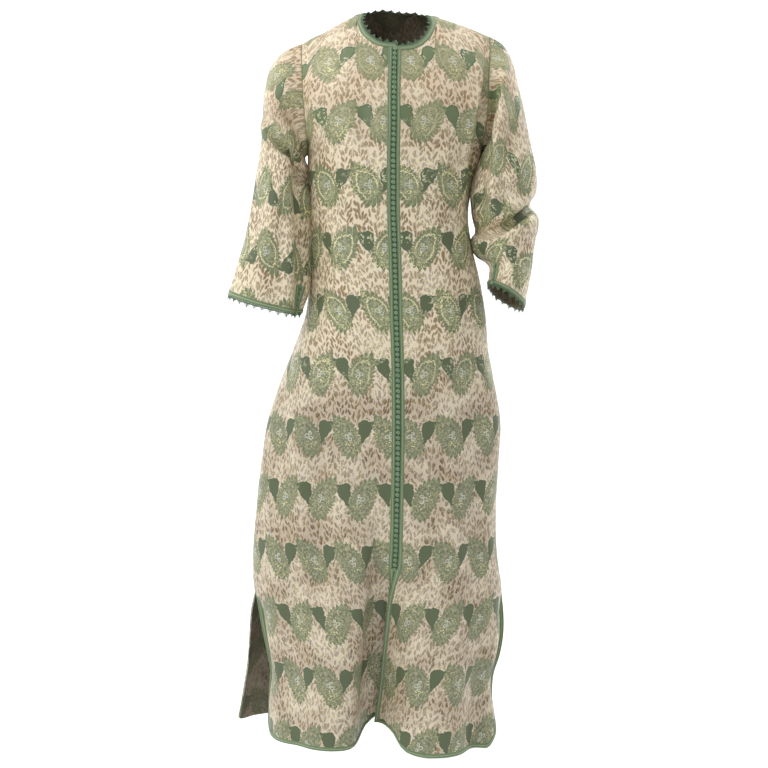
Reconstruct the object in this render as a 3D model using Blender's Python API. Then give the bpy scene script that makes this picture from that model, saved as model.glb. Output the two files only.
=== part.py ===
"""A moroccan kaftan in its hollow worn form. Metres, +Z up, the wearer's front towards -Y.

The origin is where the neck meets the shoulders, which hold the garment up. Right and left are
the wearer's: the right side is at -X. Each piece that is cut and sewn on is an object of its own.
"""

import math

import bmesh
import bpy
import numpy as np
from mathutils import Vector

# Cloth and seams
CLOTH = 0.0016  # thickness of a cloth wall
SEAM = 0.0003  # clearance between two pieces that are sewn together
BRAID = 0.0012  # thickness of the braid laid on the cloth

# Heights of the body
UNDERARM = -0.250
PLACKET_END = -1.035
SLIT_TOP = -1.100
HEM = -1.385
CORNER_FROM = -1.260  # rows below this one follow a rounded corner

# Neck
NECK_HALF_WIDTH = 0.070
NECK_DROP_FRONT = 0.135  # along the cloth, from the shoulder line to the front neck
NECK_SQUARENESS = 2.8  # 2 is an ellipse
NECK_DROP_BACK = 0.026
NECK_BRAID = 0.008
NECK_BRAID_OVER = 0.0072  # how far the neck's braid reaches down from the shoulder line
SHOULDER_ROUND = 0.100  # the cloth rolls over the shoulder at this radius

# Braids and buttons
PLACKET_IN = 0.0044  # the buttons lie between the front edge and this distance
PLACKET_OUT = 0.0120
EDGE_BRAID = 0.0085
BUTTON_PITCH = 0.0095
BUTTON_HALF_WIDTH = 0.0036
BUTTON_HALF_HEIGHT = 0.0026
BUTTON_SIDES = 6
BUTTON_WAIST = 0.42  # the string between two knots, as a share of a knot
PICOT_PITCH = 0.0150
PICOT_HEIGHT = 0.0062
PICOT_BAND = 0.0020
PICOT_THICKNESS = 0.0012
PICOT_INSET = 0.0002  # the teeth lie this far below the cloth's outside

# Cuffs
CUFF_BRAID = 0.0100
CUFF_SLIT = 0.066
CUFF_SLIT_GAP = 0.0024
CUFF_SLIT_BRAID = 0.0080
KNOT_LIFT = 0.0028  # the middle of a front knot above the cloth
CUFF_KNOT_LIFT = 0.0041  # higher, so that the knots clear the braids beside them
LAST_KNOT_RISE = 0.0026  # the string rides up where the right front turns behind the left

# Rounded corners of the hem: whether they are counted from a row's first point, and how far the
# hem rises at each distance along it.
RIGHT_CORNERS = [
    (True, [(0.0, 0.049), (0.024, 0.028), (0.046, 0.014), (0.069, 0.007), (0.110, 0.0)]),
    (False, [(0.0, 0.057), (0.008, 0.044), (0.025, 0.025), (0.045, 0.012), (0.064, 0.005), (0.100, 0.0)]),
]
LEFT_CORNERS = [
    (True, [(0.0, 0.042), (0.017, 0.041), (0.039, 0.039), (0.054, 0.033), (0.072, 0.020), (0.125, 0.0)]),
    (False, [(0.0, 0.043), (0.012, 0.030), (0.025, 0.019), (0.046, 0.010), (0.062, 0.0)]),
]
BACK_CORNERS = [(start, [(0.0, 0.020), (0.010, 0.008), (0.030, 0.0)]) for start in (True, False)]
HEM_LIFTS = {"right": 0.012, "left": 0.0}  # the whole hem of a front, above the back's

UPPER_ROWS = 10
ARMHOLE_FROM_X = 0.178  # where the search for an armhole's edge starts
UNDERARM_X = 0.170
ARMHOLE_MARGIN = 0.004  # the columns stay at least this far inside the armhole
COLUMN_MARGIN = 0.012  # and the middle ones this much further
BAND_SHARE = 0.93  # the last column before the side, as a share of the way there
EDGE_BRAID_START = 0.0020  # the first column below the buttons
CUFF_RADIUS = 0.055  # the mean radius of a cuff
CUFF_FROM = 0.85  # the sleeve's length is measured from here to the cuff
LEAN_BY = 0.5  # from this section on, a sleeve's ends lie midway between its front and back
SEGMENT = 2.35  # squareness of the body's level sections: 2 is an ellipse


class Table:
    """Rows of named numbers, read at any place along the first column by a smooth curve."""

    def __init__(self, names, rows):
        self.names = names.split()
        self.rows = sorted(rows)

    def at(self, name, place):
        column = self.names.index(name)
        keys = [row[0] for row in self.rows]
        values = [row[column] for row in self.rows]
        place = min(max(place, keys[0]), keys[-1])
        last = len(keys) - 1
        i = min(max(sum(key <= place for key in keys) - 1, 0), last - 1)

        def slope(k):
            low, high = max(k - 1, 0), min(k + 1, last)
            return (values[high] - values[low]) / (keys[high] - keys[low])

        span = keys[i + 1] - keys[i]
        t = (place - keys[i]) / span
        rise = values[i + 1] - values[i]
        start, end = slope(i) * span, slope(i + 1) * span
        return values[i] + t * (start + t * (3 * rise - 2 * start - end + t * (start + end - 2 * rise)))


# The worn body: the side seams, the placket line, and how far the cloth reaches forward and back.
BODY = Table(
    "z        right    left    centre   front   back",
    [
        (0.030, -0.205, 0.205, -0.003, 0.075, 0.062),
        (-0.050, -0.206, 0.204, -0.003, 0.088, 0.078),
        (-0.100, -0.203, 0.201, -0.004, 0.104, 0.092),
        (-0.150, -0.198, 0.195, -0.005, 0.120, 0.100),
        (-0.200, -0.186, 0.183, -0.005, 0.128, 0.104),
        (-0.250, -0.170, 0.163, -0.006, 0.130, 0.103),
        (-0.350, -0.169, 0.140, -0.006, 0.124, 0.096),
        (-0.400, -0.168, 0.138, -0.005, 0.122, 0.098),
        (-0.450, -0.168, 0.151, -0.003, 0.123, 0.106),
        (-0.550, -0.173, 0.172, -0.001, 0.128, 0.122),
        (-0.650, -0.208, 0.182, 0.002, 0.134, 0.132),
        (-0.750, -0.246, 0.203, 0.003, 0.138, 0.136),
        (-0.850, -0.263, 0.200, 0.002, 0.142, 0.138),
        (-0.950, -0.274, 0.194, 0.000, 0.147, 0.142),
        (-1.035, -0.279, 0.199, -0.003, 0.152, 0.146),
        (-1.070, -0.278, 0.203, -0.010, 0.154, 0.148),
        (-1.100, -0.275, 0.206, -0.016, 0.156, 0.150),
        (-1.150, -0.273, 0.210, -0.021, 0.160, 0.153),
        (-1.210, -0.271, 0.202, -0.027, 0.165, 0.157),
        (-1.280, -0.270, 0.191, -0.034, 0.170, 0.161),
        (-1.340, -0.270, 0.194, -0.042, 0.174, 0.165),
        (-1.385, -0.272, 0.198, -0.047, 0.176, 0.168),
    ],
)

# Below the side slits the front and the back hang apart: how far each edge stands off the side line.
SLITS = Table(
    "z   front_right_x front_right_y front_left_x front_left_y back_right_x back_right_y back_left_x back_left_y",
    [
        (-1.100, 0.000, 0.000, 0.000, 0.000, 0.000, 0.000, 0.000, 0.000),
        (-1.150, 0.008, -0.005, 0.000, -0.010, -0.012, 0.010, -0.008, 0.008),
        (-1.200, 0.015, -0.006, 0.003, -0.020, -0.018, 0.020, -0.016, 0.018),
        (-1.250, 0.023, -0.004, -0.003, -0.028, -0.024, 0.032, -0.020, 0.028),
        (-1.300, 0.021, 0.002, -0.006, -0.034, -0.032, 0.044, -0.018, 0.038),
        (-1.385, 0.017, 0.012, -0.003, -0.048, -0.046, 0.060, -0.012, 0.050),
    ],
)

# How far out the armholes are cut, as a share of the way to the side line.
ARMHOLES = Table(
    "z      front   back",
    [
        (0.000, 0.872, 0.872),
        (-0.050, 0.874, 0.876),
        (-0.100, 0.876, 0.884),
        (-0.150, 0.888, 0.900),
        (-0.185, 0.912, 0.922),
        (-0.215, 0.944, 0.950),
        (-0.236, 0.974, 0.977),
        (-0.250, 1.000, 1.000),
    ],
)

# The line of each shoulder, from the middle of the neck to past the armhole.
SHOULDERS = Table(
    "x      right   left",
    [
        (0.000, 0.0240, 0.0190),
        (0.035, 0.0220, 0.0170),
        (0.070, 0.0120, 0.0085),
        (0.110, -0.0080, -0.0050),
        (0.150, -0.0280, -0.0190),
        (0.180, -0.0430, -0.0300),
        (0.220, -0.0640, -0.0460),
    ],
)

# Upright folds: depth is at the hem and is counted backwards, and a ridge has a minus.
FRONT_FOLDS = [
    dict(top=-0.86, high_x=-0.002, low_x=-0.040, width=0.044, depth=0.098),
    dict(top=-1.14, high_x=0.158, low_x=0.152, width=0.020, depth=0.026),
    dict(top=-0.62, high_x=-0.165, low_x=-0.196, width=0.016, depth=0.010),
    dict(top=-0.70, high_x=0.090, low_x=0.084, width=0.018, depth=-0.006),
    dict(top=-0.60, high_x=-0.075, low_x=-0.100, width=0.026, depth=-0.007),
]
BACK_FOLDS = [
    dict(top=-0.52, high_x=-0.110, low_x=-0.170, width=0.026, depth=-0.026),
    dict(top=-0.45, high_x=-0.030, low_x=-0.072, width=0.024, depth=-0.034),
    dict(top=-0.58, high_x=0.030, low_x=0.018, width=0.022, depth=-0.026),
    dict(top=-0.50, high_x=0.092, low_x=0.104, width=0.026, depth=-0.030),
]

# Where the right front passes behind the left one, below the buttons.
BEHIND = Table(
    "z   lap   depth",
    [
        (-0.980, 0.000, 0.0000),
        (-1.035, 0.000, 0.0040),
        (-1.070, 0.005, 0.0100),
        (-1.120, 0.010, 0.0150),
        (-1.200, 0.014, 0.0200),
        (-1.385, 0.016, 0.0230),
    ],
)
BEHIND_WIDTH = 0.030

# Each sleeve as a row of slanting sections: its outer and inner ends, its front and back, and how
# much the front of a section is raised above its ends.
SLEEVE_COLUMNS = "step outer_x outer_z inner_x inner_z front back lift"
RIGHT_SLEEVE = Table(
    SLEEVE_COLUMNS,
    [
        (0.00, -0.179, -0.043, -0.172, -0.250, -0.066, 0.062, 0.000),
        (0.08, -0.221, -0.063, -0.180, -0.258, -0.073, 0.066, 0.000),
        (0.15, -0.243, -0.096, -0.177, -0.270, -0.082, 0.064, 0.000),
        (0.24, -0.254, -0.148, -0.171, -0.290, -0.092, 0.058, 0.000),
        (0.31, -0.257, -0.190, -0.170, -0.312, -0.080, 0.054, -0.004),
        (0.37, -0.257, -0.224, -0.169, -0.336, -0.099, 0.050, 0.000),
        (0.50, -0.266, -0.284, -0.169, -0.384, -0.102, 0.042, 0.000),
        (0.62, -0.276, -0.346, -0.169, -0.430, -0.104, 0.034, 0.000),
        (0.74, -0.287, -0.406, -0.170, -0.470, -0.106, 0.026, 0.000),
        (0.87, -0.303, -0.464, -0.172, -0.512, -0.108, 0.016, 0.000),
        (1.00, -0.319, -0.520, -0.183, -0.556, -0.110, 0.004, -0.004),
    ],
)
LEFT_SLEEVE = Table(
    SLEEVE_COLUMNS,
    [
        (0.00, 0.177, -0.030, 0.168, -0.250, -0.066, 0.062, 0.000),
        (0.07, 0.207, -0.047, 0.175, -0.259, -0.073, 0.066, 0.000),
        (0.14, 0.223, -0.078, 0.167, -0.270, -0.080, 0.064, 0.000),
        (0.22, 0.233, -0.116, 0.158, -0.288, -0.088, 0.060, 0.000),
        (0.32, 0.244, -0.165, 0.149, -0.312, -0.092, 0.056, 0.000),
        (0.42, 0.255, -0.226, 0.145, -0.338, -0.093, 0.054, 0.000),
        (0.52, 0.266, -0.280, 0.145, -0.362, -0.093, 0.053, 0.000),
        (0.60, 0.267, -0.328, 0.151, -0.386, -0.092, 0.052, 0.000),
        (0.66, 0.257, -0.350, 0.157, -0.404, -0.066, 0.054, -0.006),
        (0.72, 0.272, -0.374, 0.149, -0.424, -0.094, 0.060, 0.000),
        (0.80, 0.265, -0.424, 0.159, -0.446, -0.100, 0.052, 0.004),
        (0.89, 0.257, -0.480, 0.177, -0.466, -0.104, 0.040, 0.009),
        (1.00, 0.244, -0.546, 0.174, -0.501, -0.106, 0.018, 0.012),
    ],
)
# Each sleeve's sections, the column before its cuff slit, and the angle of the slit.
SLEEVES = {"right": (RIGHT_SLEEVE, 8, math.radians(158)), "left": (LEFT_SLEEVE, 8, math.radians(140))}
SLEEVE_BLEND = 0.16  # the armhole's outline has turned into the first plain section here
SLEEVE_ROWS = [0.035, 0.08, 0.13, 0.18, 0.24, 0.31, 0.37, 0.44, 0.52, 0.60, 0.66, 0.72, 0.80]

# Columns of a body panel from the middle to the side: where each starts on the neck or shoulder,
# and its place lower down as a share of the way to the side.
FRONT_COLUMNS = [(0.034, 0.05), (0.054, 0.13), (0.066, 0.22), (0.070, 0.33), (0.0785, 0.45), (0.104, 0.59)]
FRONT_COLUMNS += [(0.132, 0.73), (0.149, 0.87)]
BACK_COLUMNS = [(0.000, 0.00), (0.026, 0.12), (0.050, 0.24), (0.070, 0.36), (0.0785, 0.48), (0.104, 0.61)]
BACK_COLUMNS += [(0.132, 0.75), (0.149, 0.88)]
BAND_START = 0.164  # the last column before the side starts here on the shoulder

LOWER_ROWS = [-0.31, -0.37, -0.43, -0.49, -0.56, -0.63, -0.70, -0.77, -0.84, -0.91, -0.975]
LOWER_ROWS += [PLACKET_END, -1.07, SLIT_TOP, -1.14, -1.18, -1.22, CORNER_FROM, -1.30, -1.33, -1.355]


def signed_power(value, power):
    return math.copysign(abs(value) ** power, value)


def ease(t):
    t = min(max(t, 0.0), 1.0)
    return t * t * (3 - 2 * t)


def side_name(a):
    return "right" if a < 0 else "left"


def side_line(part, side, z):
    """(x, y) of the side seam or, below the slit's top, of that panel's free edge."""
    if z >= SLIT_TOP:
        return BODY.at(side, z), 0.0
    return BODY.at(side, z) + SLITS.at(f"{part}_{side}_x", z), SLITS.at(f"{part}_{side}_y", z)


def across(part, a, z):
    """x of the body's section at height z: a runs from -1, the right side, over 0 to 1, the left."""
    centre = BODY.at("centre", z)
    reach = abs(side_line(part, side_name(a), z)[0] - centre)
    return centre + reach * signed_power(math.sin(a * math.pi / 2), 2 / SEGMENT)


def along(part, x, z):
    """The a whose x is this one: across, turned round."""
    centre = BODY.at("centre", z)
    reach = abs(side_line(part, "right" if x < centre else "left", z)[0] - centre)
    share = min(max((x - centre) / reach, -1.0), 1.0)
    return math.asin(signed_power(share, SEGMENT / 2)) * 2 / math.pi


def fold_depth(folds, x, z):
    depth = 0.0
    for fold in folds:
        ramp = ease((fold["top"] - z) / (fold["top"] - HEM))
        middle = fold["high_x"] + (fold["low_x"] - fold["high_x"]) * ramp
        depth += fold["depth"] * ramp * math.exp(-(((x - middle) / fold["width"]) ** 2))
    return depth


def skin(part, a, z, rounding=1.0, behind=False):
    """A point on the outside of the body, front or back."""
    x = across(part, a, z)
    edge_y = side_line(part, side_name(a), z)[1]
    depth = -BODY.at("front", z) if part == "front" else BODY.at("back", z)
    bulge = signed_power(math.cos(a * math.pi / 2), 2 / SEGMENT)
    y = (edge_y + (depth - edge_y) * bulge) * rounding
    folds = FRONT_FOLDS if part == "front" else BACK_FOLDS
    y += fold_depth(folds, x, z) * min(1.0, 3 * (1 - abs(a))) * (1 if part == "front" else -1)
    if behind:
        nearness = 1 - (BODY.at("centre", z) - x) / BEHIND_WIDTH
        y += BEHIND.at("depth", z) * ease(nearness)
    return Vector((x, y, z))


def shoulder_line(x):
    return SHOULDERS.at(side_name(x), abs(x))


def fall(v):
    """How far below the shoulder line the cloth is, a distance v down from it."""
    turn = SHOULDER_ROUND * math.pi / 2
    if v < turn:
        return SHOULDER_ROUND * (1 - math.cos(v / SHOULDER_ROUND))
    return SHOULDER_ROUND + v - turn


def fall_from(drop):
    """The distance v down the cloth that gives this fall."""
    if drop < SHOULDER_ROUND:
        return SHOULDER_ROUND * math.acos(1 - max(drop, 0.0) / SHOULDER_ROUND)
    return drop - SHOULDER_ROUND + SHOULDER_ROUND * math.pi / 2


def roll(v):
    return math.sin(min(v / SHOULDER_ROUND, math.pi / 2))


def near_shoulder(part, x, v):
    """A point on the body a distance v down the cloth from the shoulder line, at this x."""
    z = shoulder_line(x) - fall(v)
    return skin(part, along(part, x, z), z, roll(v))


def armhole_x(part, side, v):
    """x of the armhole's edge, a distance v down from the shoulder line."""
    x = math.copysign(ARMHOLE_FROM_X, -1 if side == "right" else 1)
    for _ in range(12):
        z = shoulder_line(x) - fall(v)
        centre = BODY.at("centre", z)
        x = centre + (side_line(part, side, z)[0] - centre) * ARMHOLES.at(part, z)
    return x


def underarm_v(x):
    return fall_from(shoulder_line(x) - UNDERARM)


def neck_v(part, x):
    """How far down the cloth the neckline lies at this x."""
    drop = NECK_DROP_FRONT if part == "front" else NECK_DROP_BACK
    share = min(abs(x) / NECK_HALF_WIDTH, 1.0)
    return drop * (1 - share**NECK_SQUARENESS) ** (1 / NECK_SQUARENESS)


def below_neck(part, x):
    """The point NECK_BRAID in from the neckline, as (x, v)."""
    drop = NECK_DROP_FRONT if part == "front" else NECK_DROP_BACK
    v = neck_v(part, x)
    across_pull = (x / NECK_HALF_WIDTH) ** (NECK_SQUARENESS - 1) / NECK_HALF_WIDTH
    down_pull = (v / drop) ** (NECK_SQUARENESS - 1) / drop
    size = math.hypot(across_pull, down_pull)
    return x + NECK_BRAID * across_pull / size, v + NECK_BRAID * down_pull / size


def upper_point(part, side, start_x, share, row, edge=False):
    """A point above the underarm, on the column that starts at start_x on the neck or shoulder."""
    sign = -1 if side == "right" else 1
    if edge:
        # An armhole's rows share its height out evenly.
        bottom_x = armhole_x(part, side, underarm_v(sign * UNDERARM_X))
        v = underarm_v(bottom_x) * row / UPPER_ROWS
        x = armhole_x(part, side, v)
        if row == UPPER_ROWS:
            return skin(part, sign * 1.0, UNDERARM)
        return near_shoulder(part, x, v)
    on_neck = start_x <= NECK_HALF_WIDTH
    top = (start_x, neck_v(part, start_x) if on_neck else 0.0)
    if start_x < NECK_HALF_WIDTH:
        first = below_neck(part, start_x)
    elif on_neck:
        first = (start_x + NECK_BRAID_OVER, NECK_BRAID_OVER)
    else:
        # The braid's corner pushes the columns beside it outwards, the nearest ones most.
        push = math.exp(-(start_x - NECK_HALF_WIDTH) / NECK_BRAID)
        first = (start_x + NECK_BRAID_OVER * push, NECK_BRAID_OVER)
    if row == 0:
        return near_shoulder(part, sign * top[0], top[1])
    if row == 1:
        return near_shoulder(part, sign * first[0], first[1])
    t = (row - 1) / (UPPER_ROWS - 1)
    low_x = across(part, sign * share, UNDERARM)
    v = first[1] + (underarm_v(low_x) - first[1]) * t
    x = sign * first[0] + (low_x - sign * first[0]) * t
    # Between the neck and the armhole the columns keep their order as the armhole narrows the row.
    limit = abs(armhole_x(part, side, v)) - ARMHOLE_MARGIN - COLUMN_MARGIN * (1 - share)
    x = sign * min(abs(x), limit) if row < UPPER_ROWS else low_x
    return near_shoulder(part, x, v)


def share_at(part, side, z, distance, from_side):
    """The a at this distance along the cloth from the side edge, or from the placket line."""
    sign = -1 if side == "right" else 1
    steps = 400
    a = sign * (1.0 if from_side else 0.0)
    last = skin(part, a, z)
    gone = 0.0
    for k in range(1, steps):
        place = 1 - k / steps if from_side else k / steps
        point = skin(part, sign * place, z)
        step = (point - last).length
        if gone + step >= distance:
            before = place + 1 / steps if from_side else place - 1 / steps
            return sign * (before + (place - before) * (distance - gone) / step)
        gone += step
        last = point
    return sign * place


class Grid:
    """Rows of points on the outside of a piece, with the way out at each point."""

    def __init__(self, points, closed=False, turned=False):
        self.points = points
        self.closed = closed
        self.turned = turned
        self.rows = len(points)
        self.columns = len(points[0])
        sign = -1 if turned else 1
        self.out = [[self.outward(r, c) * sign for c in range(self.columns)] for r in range(self.rows)]

    def step(self, r, c, by_row):
        if by_row:
            low, high = max(r - 1, 0), min(r + 1, self.rows - 1)
            return self.points[high][c] - self.points[low][c]
        if self.closed:
            low, high = (c - 1) % self.columns, (c + 1) % self.columns
        else:
            low, high = max(c - 1, 0), min(c + 1, self.columns - 1)
        return self.points[r][high] - self.points[r][low]

    def outward(self, r, c):
        return self.step(r, c, True).cross(self.step(r, c, False)).normalized()

    def at(self, r, c):
        return self.points[r][c], self.out[r][c]

    def faces(self, cells):
        """The cells as loops of corners, each corner (grid, row, column)."""
        found = []
        for r, c in sorted(cells):
            beside = (c + 1) % self.columns
            loop = [(self, r, c), (self, r + 1, c), (self, r + 1, beside), (self, r, beside)]
            found.append([loop[0], loop[3], loop[2], loop[1]] if self.turned else loop)
        return found

    def all_cells(self):
        columns = self.columns if self.closed else self.columns - 1
        return {(r, c) for r in range(self.rows - 1) for c in range(columns)}


def new_object(name, maker, material):
    bmesh.ops.recalc_face_normals(maker, faces=maker.faces)
    mesh = bpy.data.meshes.new(name)
    maker.to_mesh(mesh)
    maker.free()
    mesh.materials.append(material)
    mesh.shade_smooth()
    mesh.set_sharp_from_angle(angle=math.radians(40))
    made = bpy.data.objects.new(name, mesh)
    kaftan.objects.link(made)
    return made


def wall(name, faces, place, material):
    """A closed wall over loops of corners: place gives a corner's outer and inner points."""
    maker = bmesh.new()
    made = {}
    edges = set()

    def corner(layer, key):
        if (layer, key) not in made:
            made[layer, key] = maker.verts.new(place(key)[layer])
        return made[layer, key]

    for loop in faces:
        edges |= set(zip(loop, loop[1:] + loop[:1]))
        for k in range(1, len(loop) - 1):
            three = [loop[0], loop[k], loop[k + 1]]
            maker.faces.new([corner(0, key) for key in three])
            maker.faces.new([corner(1, key) for key in reversed(three)])
    for a, b in sorted(edges, key=lambda pair: [key[-2:] for key in pair]):
        if (b, a) not in edges:
            maker.faces.new((corner(0, b), corner(0, a), corner(1, a)))
            maker.faces.new((corner(0, b), corner(1, a), corner(1, b)))
    return new_object(name, maker, material)


def cloth(name, grid, cells=None):
    """One piece of brocade: its outside is the grid, and its thickness lies within."""

    def place(key):
        point, out = key[0].at(*key[1:])
        return point, point - out * CLOTH

    return wall(name, grid.faces(cells or grid.all_cells()), place, brocade)


def braid(name, faces, same=None, moved=None):
    """A flat braid on whole cells of the cloth below. Corners in same become the one they name."""
    same, moved = same or {}, moved or {}
    faces = [[same.get(key, key) for key in loop] for loop in faces]

    def place(key):
        point, out = key[0].at(*key[1:])
        point = moved.get(key, point)
        return point + out * (SEAM + BRAID), point + out * SEAM

    return wall(name, faces, place, braid_green)


def material(name, colour, roughness):
    made = bpy.data.materials.new(name)
    made.use_nodes = True
    shader = made.node_tree.nodes["Principled BSDF"]
    shader.inputs["Base Color"].default_value = (*colour, 1)
    shader.inputs["Roughness"].default_value = roughness
    return made


def front_grid(side):
    """One front: its columns run from the front edge to the side seam and the armhole."""
    sign = -1 if side == "right" else 1
    shares = [share for _, share in FRONT_COLUMNS]
    starts = [start for start, _ in FRONT_COLUMNS]
    points = []
    for row in range(UPPER_ROWS):
        # The placket's columns run straight down beside the front edge.
        line = []
        for reach in (0.0, PLACKET_IN, PLACKET_OUT):
            drop = max(0, row - 1) / (UPPER_ROWS - 1)
            neck_x = BODY.at("centre", -NECK_DROP_FRONT / 2) + sign * reach
            v = neck_v("front", neck_x) + (NECK_BRAID if row else 0.0)
            v += (underarm_v(neck_x) - v) * drop
            x = BODY.at("centre", shoulder_line(neck_x) - fall(v)) + sign * reach
            line.append(near_shoulder("front", x, v))
        line += [upper_point("front", side, start, share, row) for start, share in zip(starts, shares)]
        line.append(upper_point("front", side, BAND_START, BAND_SHARE, row))
        line.append(upper_point("front", side, 0.0, 1.0, row, edge=True))
        points.append(line)
    for z in [UNDERARM] + LOWER_ROWS + [HEM + EDGE_BRAID, HEM]:
        lap = BEHIND.at("lap", z) if side == "right" else 0.0
        centre = BODY.at("centre", z)
        reaches = [0.0, PLACKET_IN, PLACKET_OUT] if z > PLACKET_END - 0.001 else [0.0, EDGE_BRAID_START, EDGE_BRAID]
        ways = [along("front", centre + sign * (reach - lap), z) for reach in reaches]
        band = share_at("front", side, z, EDGE_BRAID, True)
        start = abs(ways[2]) if lap == 0 else 0.0
        ways += [sign * (start + (abs(band) - start) * share) for share in shares]
        ways += [band, sign * 1.0]
        points.append([skin("front", a, z, behind=side == "right") for a in ways])
    return points


def back_grid():
    """The back: its columns run from the right side seam to the left one."""
    points = []
    for row in range(UPPER_ROWS):
        halves = []
        for side in ("right", "left"):
            line = [upper_point("back", side, start, share, row) for start, share in BACK_COLUMNS]
            line.append(upper_point("back", side, BAND_START, BAND_SHARE, row))
            line.append(upper_point("back", side, 0.0, 1.0, row, edge=True))
            halves.append(line)
        points.append(list(reversed(halves[0]))[:-1] + halves[1])
    for z in [UNDERARM] + LOWER_ROWS + [HEM + EDGE_BRAID, HEM]:
        halves = []
        for side in ("right", "left"):
            sign = -1 if side == "right" else 1
            band = share_at("back", side, z, EDGE_BRAID, True)
            ways = [abs(band) * share for _, share in BACK_COLUMNS] + [abs(band), 1.0]
            halves.append([skin("back", sign * a, z) for a in ways])
        points.append(list(reversed(halves[0]))[:-1] + halves[1])
    return points


def round_hem(points, corners, lift=0.0):
    """Raises the hem, most at each rounded corner, and draws the rows above it together."""
    rows = len(points)
    first = rows - 3 - sum(z < CORNER_FROM for z in LOWER_ROWS)
    lengths = [0.0]
    for left, right in zip(points[-1], points[-1][1:]):
        lengths.append(lengths[-1] + (right - left).length)
    for c in range(len(points[0])):
        raised = lift
        for from_start, rises in corners:
            distance = lengths[c] if from_start else lengths[-1] - lengths[c]
            raised = max(raised, lift + float(np.interp(distance, *zip(*rises))))
        if raised == 0.0:
            continue
        top = points[first][c]
        share = 1 - raised / (top.z - HEM)
        column = [points[r][c].copy() for r in range(rows)]
        for r in range(first + 1, rows):
            # Each row slides up its own column of the cloth.
            target = top.z + (column[r].z - top.z) * share
            k = first
            while k < rows - 2 and column[k + 1].z > target:
                k += 1
            t = (column[k].z - target) / (column[k].z - column[k + 1].z)
            points[r][c] = column[k].lerp(column[k + 1], t)


def sew(grid_a, places_a, grid_b, places_b):
    """Gives two pieces one way out along their seam, and parts them by the seam's clearance."""
    for (ra, ca), (rb, cb) in zip(places_a, places_b):
        mean = (grid_a.out[ra][ca] + grid_b.out[rb][cb]).normalized()
        grid_a.out[ra][ca] = mean
        grid_b.out[rb][cb] = mean.copy()


def part_seam(grid, places, inward_places):
    """Draws a seam's points half the clearance into their own piece."""
    moved = []
    for (r, c), (ri, ci) in zip(places, inward_places):
        way = grid.points[ri][ci] - grid.points[r][c]
        way -= way.dot(grid.out[r][c]) * grid.out[r][c]
        moved.append(grid.points[r][c] + way.normalized() * SEAM * 0.55)
    for (r, c), point in zip(places, moved):
        grid.points[r][c] = point


def arc_shares(line):
    """How far along its own length each point of a line lies."""
    lengths = [0.0]
    for a, b in zip(line, line[1:]):
        lengths.append(lengths[-1] + (b - a).length)
    return [length / lengths[-1] for length in lengths]


def section_point(table, step, angle):
    """A point of a sleeve's section: angle 0 is its outer end, a quarter turn its front."""
    names = ("outer_x", "outer_z", "inner_x", "inner_z", "front", "back", "lift")
    outer_x, outer_z, inner_x, inner_z, front, back, lift = [table.at(name, step) for name in names]
    share = (1 + math.cos(angle)) / 2
    sine = math.sin(angle)
    y = front * sine if sine > 0 else -back * sine
    middle = (front + back) / 2
    y += middle * (1 - abs(sine)) * ease(step / LEAN_BY)
    x = inner_x + (outer_x - inner_x) * share
    return Vector((x, y, inner_z + (outer_z - inner_z) * share + lift * sine))


def sleeve_grid(table, ring, slit_column, slit_angle):
    """A sleeve from the armhole's ring of points to the cuff, with columns set either side of its slit."""
    count = len(ring)
    half = count // 2
    front_shares = arc_shares(ring[: half + 1])
    back_shares = arc_shares(ring[half:] + ring[:1])
    start_angles = [share * math.pi for share in front_shares[:-1]]
    start_angles += [(1 + share) * math.pi for share in back_shares[:-1]]
    near = CUFF_SLIT_GAP / 2 / CUFF_RADIUS
    far = near + CUFF_SLIT_BRAID / CUFF_RADIUS
    cuff_angles = [0.0] * count
    for c in range(slit_column):
        cuff_angles[c] = (slit_angle - far) * c / (slit_column - 1)
    cuff_angles[slit_column] = slit_angle - near
    cuff_angles[slit_column + 1] = slit_angle + near
    rest = count - slit_column - 2
    for k in range(rest):
        cuff_angles[slit_column + 2 + k] = slit_angle + far + (2 * math.pi - slit_angle - far) * k / rest
    length = (section_point(table, 1, 0) - section_point(table, CUFF_FROM, 0)).length / (1 - CUFF_FROM)
    ends = [1 - CUFF_SLIT / length, 1 - 0.5 * (CUFF_SLIT + CUFF_BRAID) / length, 1 - CUFF_BRAID / length, 1.0]
    steps = [step for step in SLEEVE_ROWS if step < ends[0] - 0.02] + ends
    points = [ring]
    for step in steps:
        blend = ease(step / SLEEVE_BLEND)
        turn = ease(step / ends[0])
        line = []
        for c in range(count):
            angle = start_angles[c] + (cuff_angles[c] - start_angles[c]) * turn
            section = section_point(table, step, angle)
            first = section_point(table, step * 0.5, start_angles[c])
            line.append((ring[c] + (first - section_point(table, 0, start_angles[c]))).lerp(section, blend))
        points.append(line)
    return points


def line_length(line):
    return sum((b[0] - a[0]).length for a, b in zip(line, line[1:]))


def walk(line, pitch, count):
    """Rows of vectors at even distances along a line of such rows: the first of each is a point."""
    lengths = [0.0]
    for a, b in zip(line, line[1:]):
        lengths.append(lengths[-1] + (b[0] - a[0]).length)
    found = []
    k = 0
    for i in range(count):
        place = min(i * pitch, lengths[-1] * 0.99999)
        while lengths[k + 1] < place:
            k += 1
        t = (place - lengths[k]) / (lengths[k + 1] - lengths[k])
        found.append([a.lerp(b, t) for a, b in zip(line[k], line[k + 1])])
    return found


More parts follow.
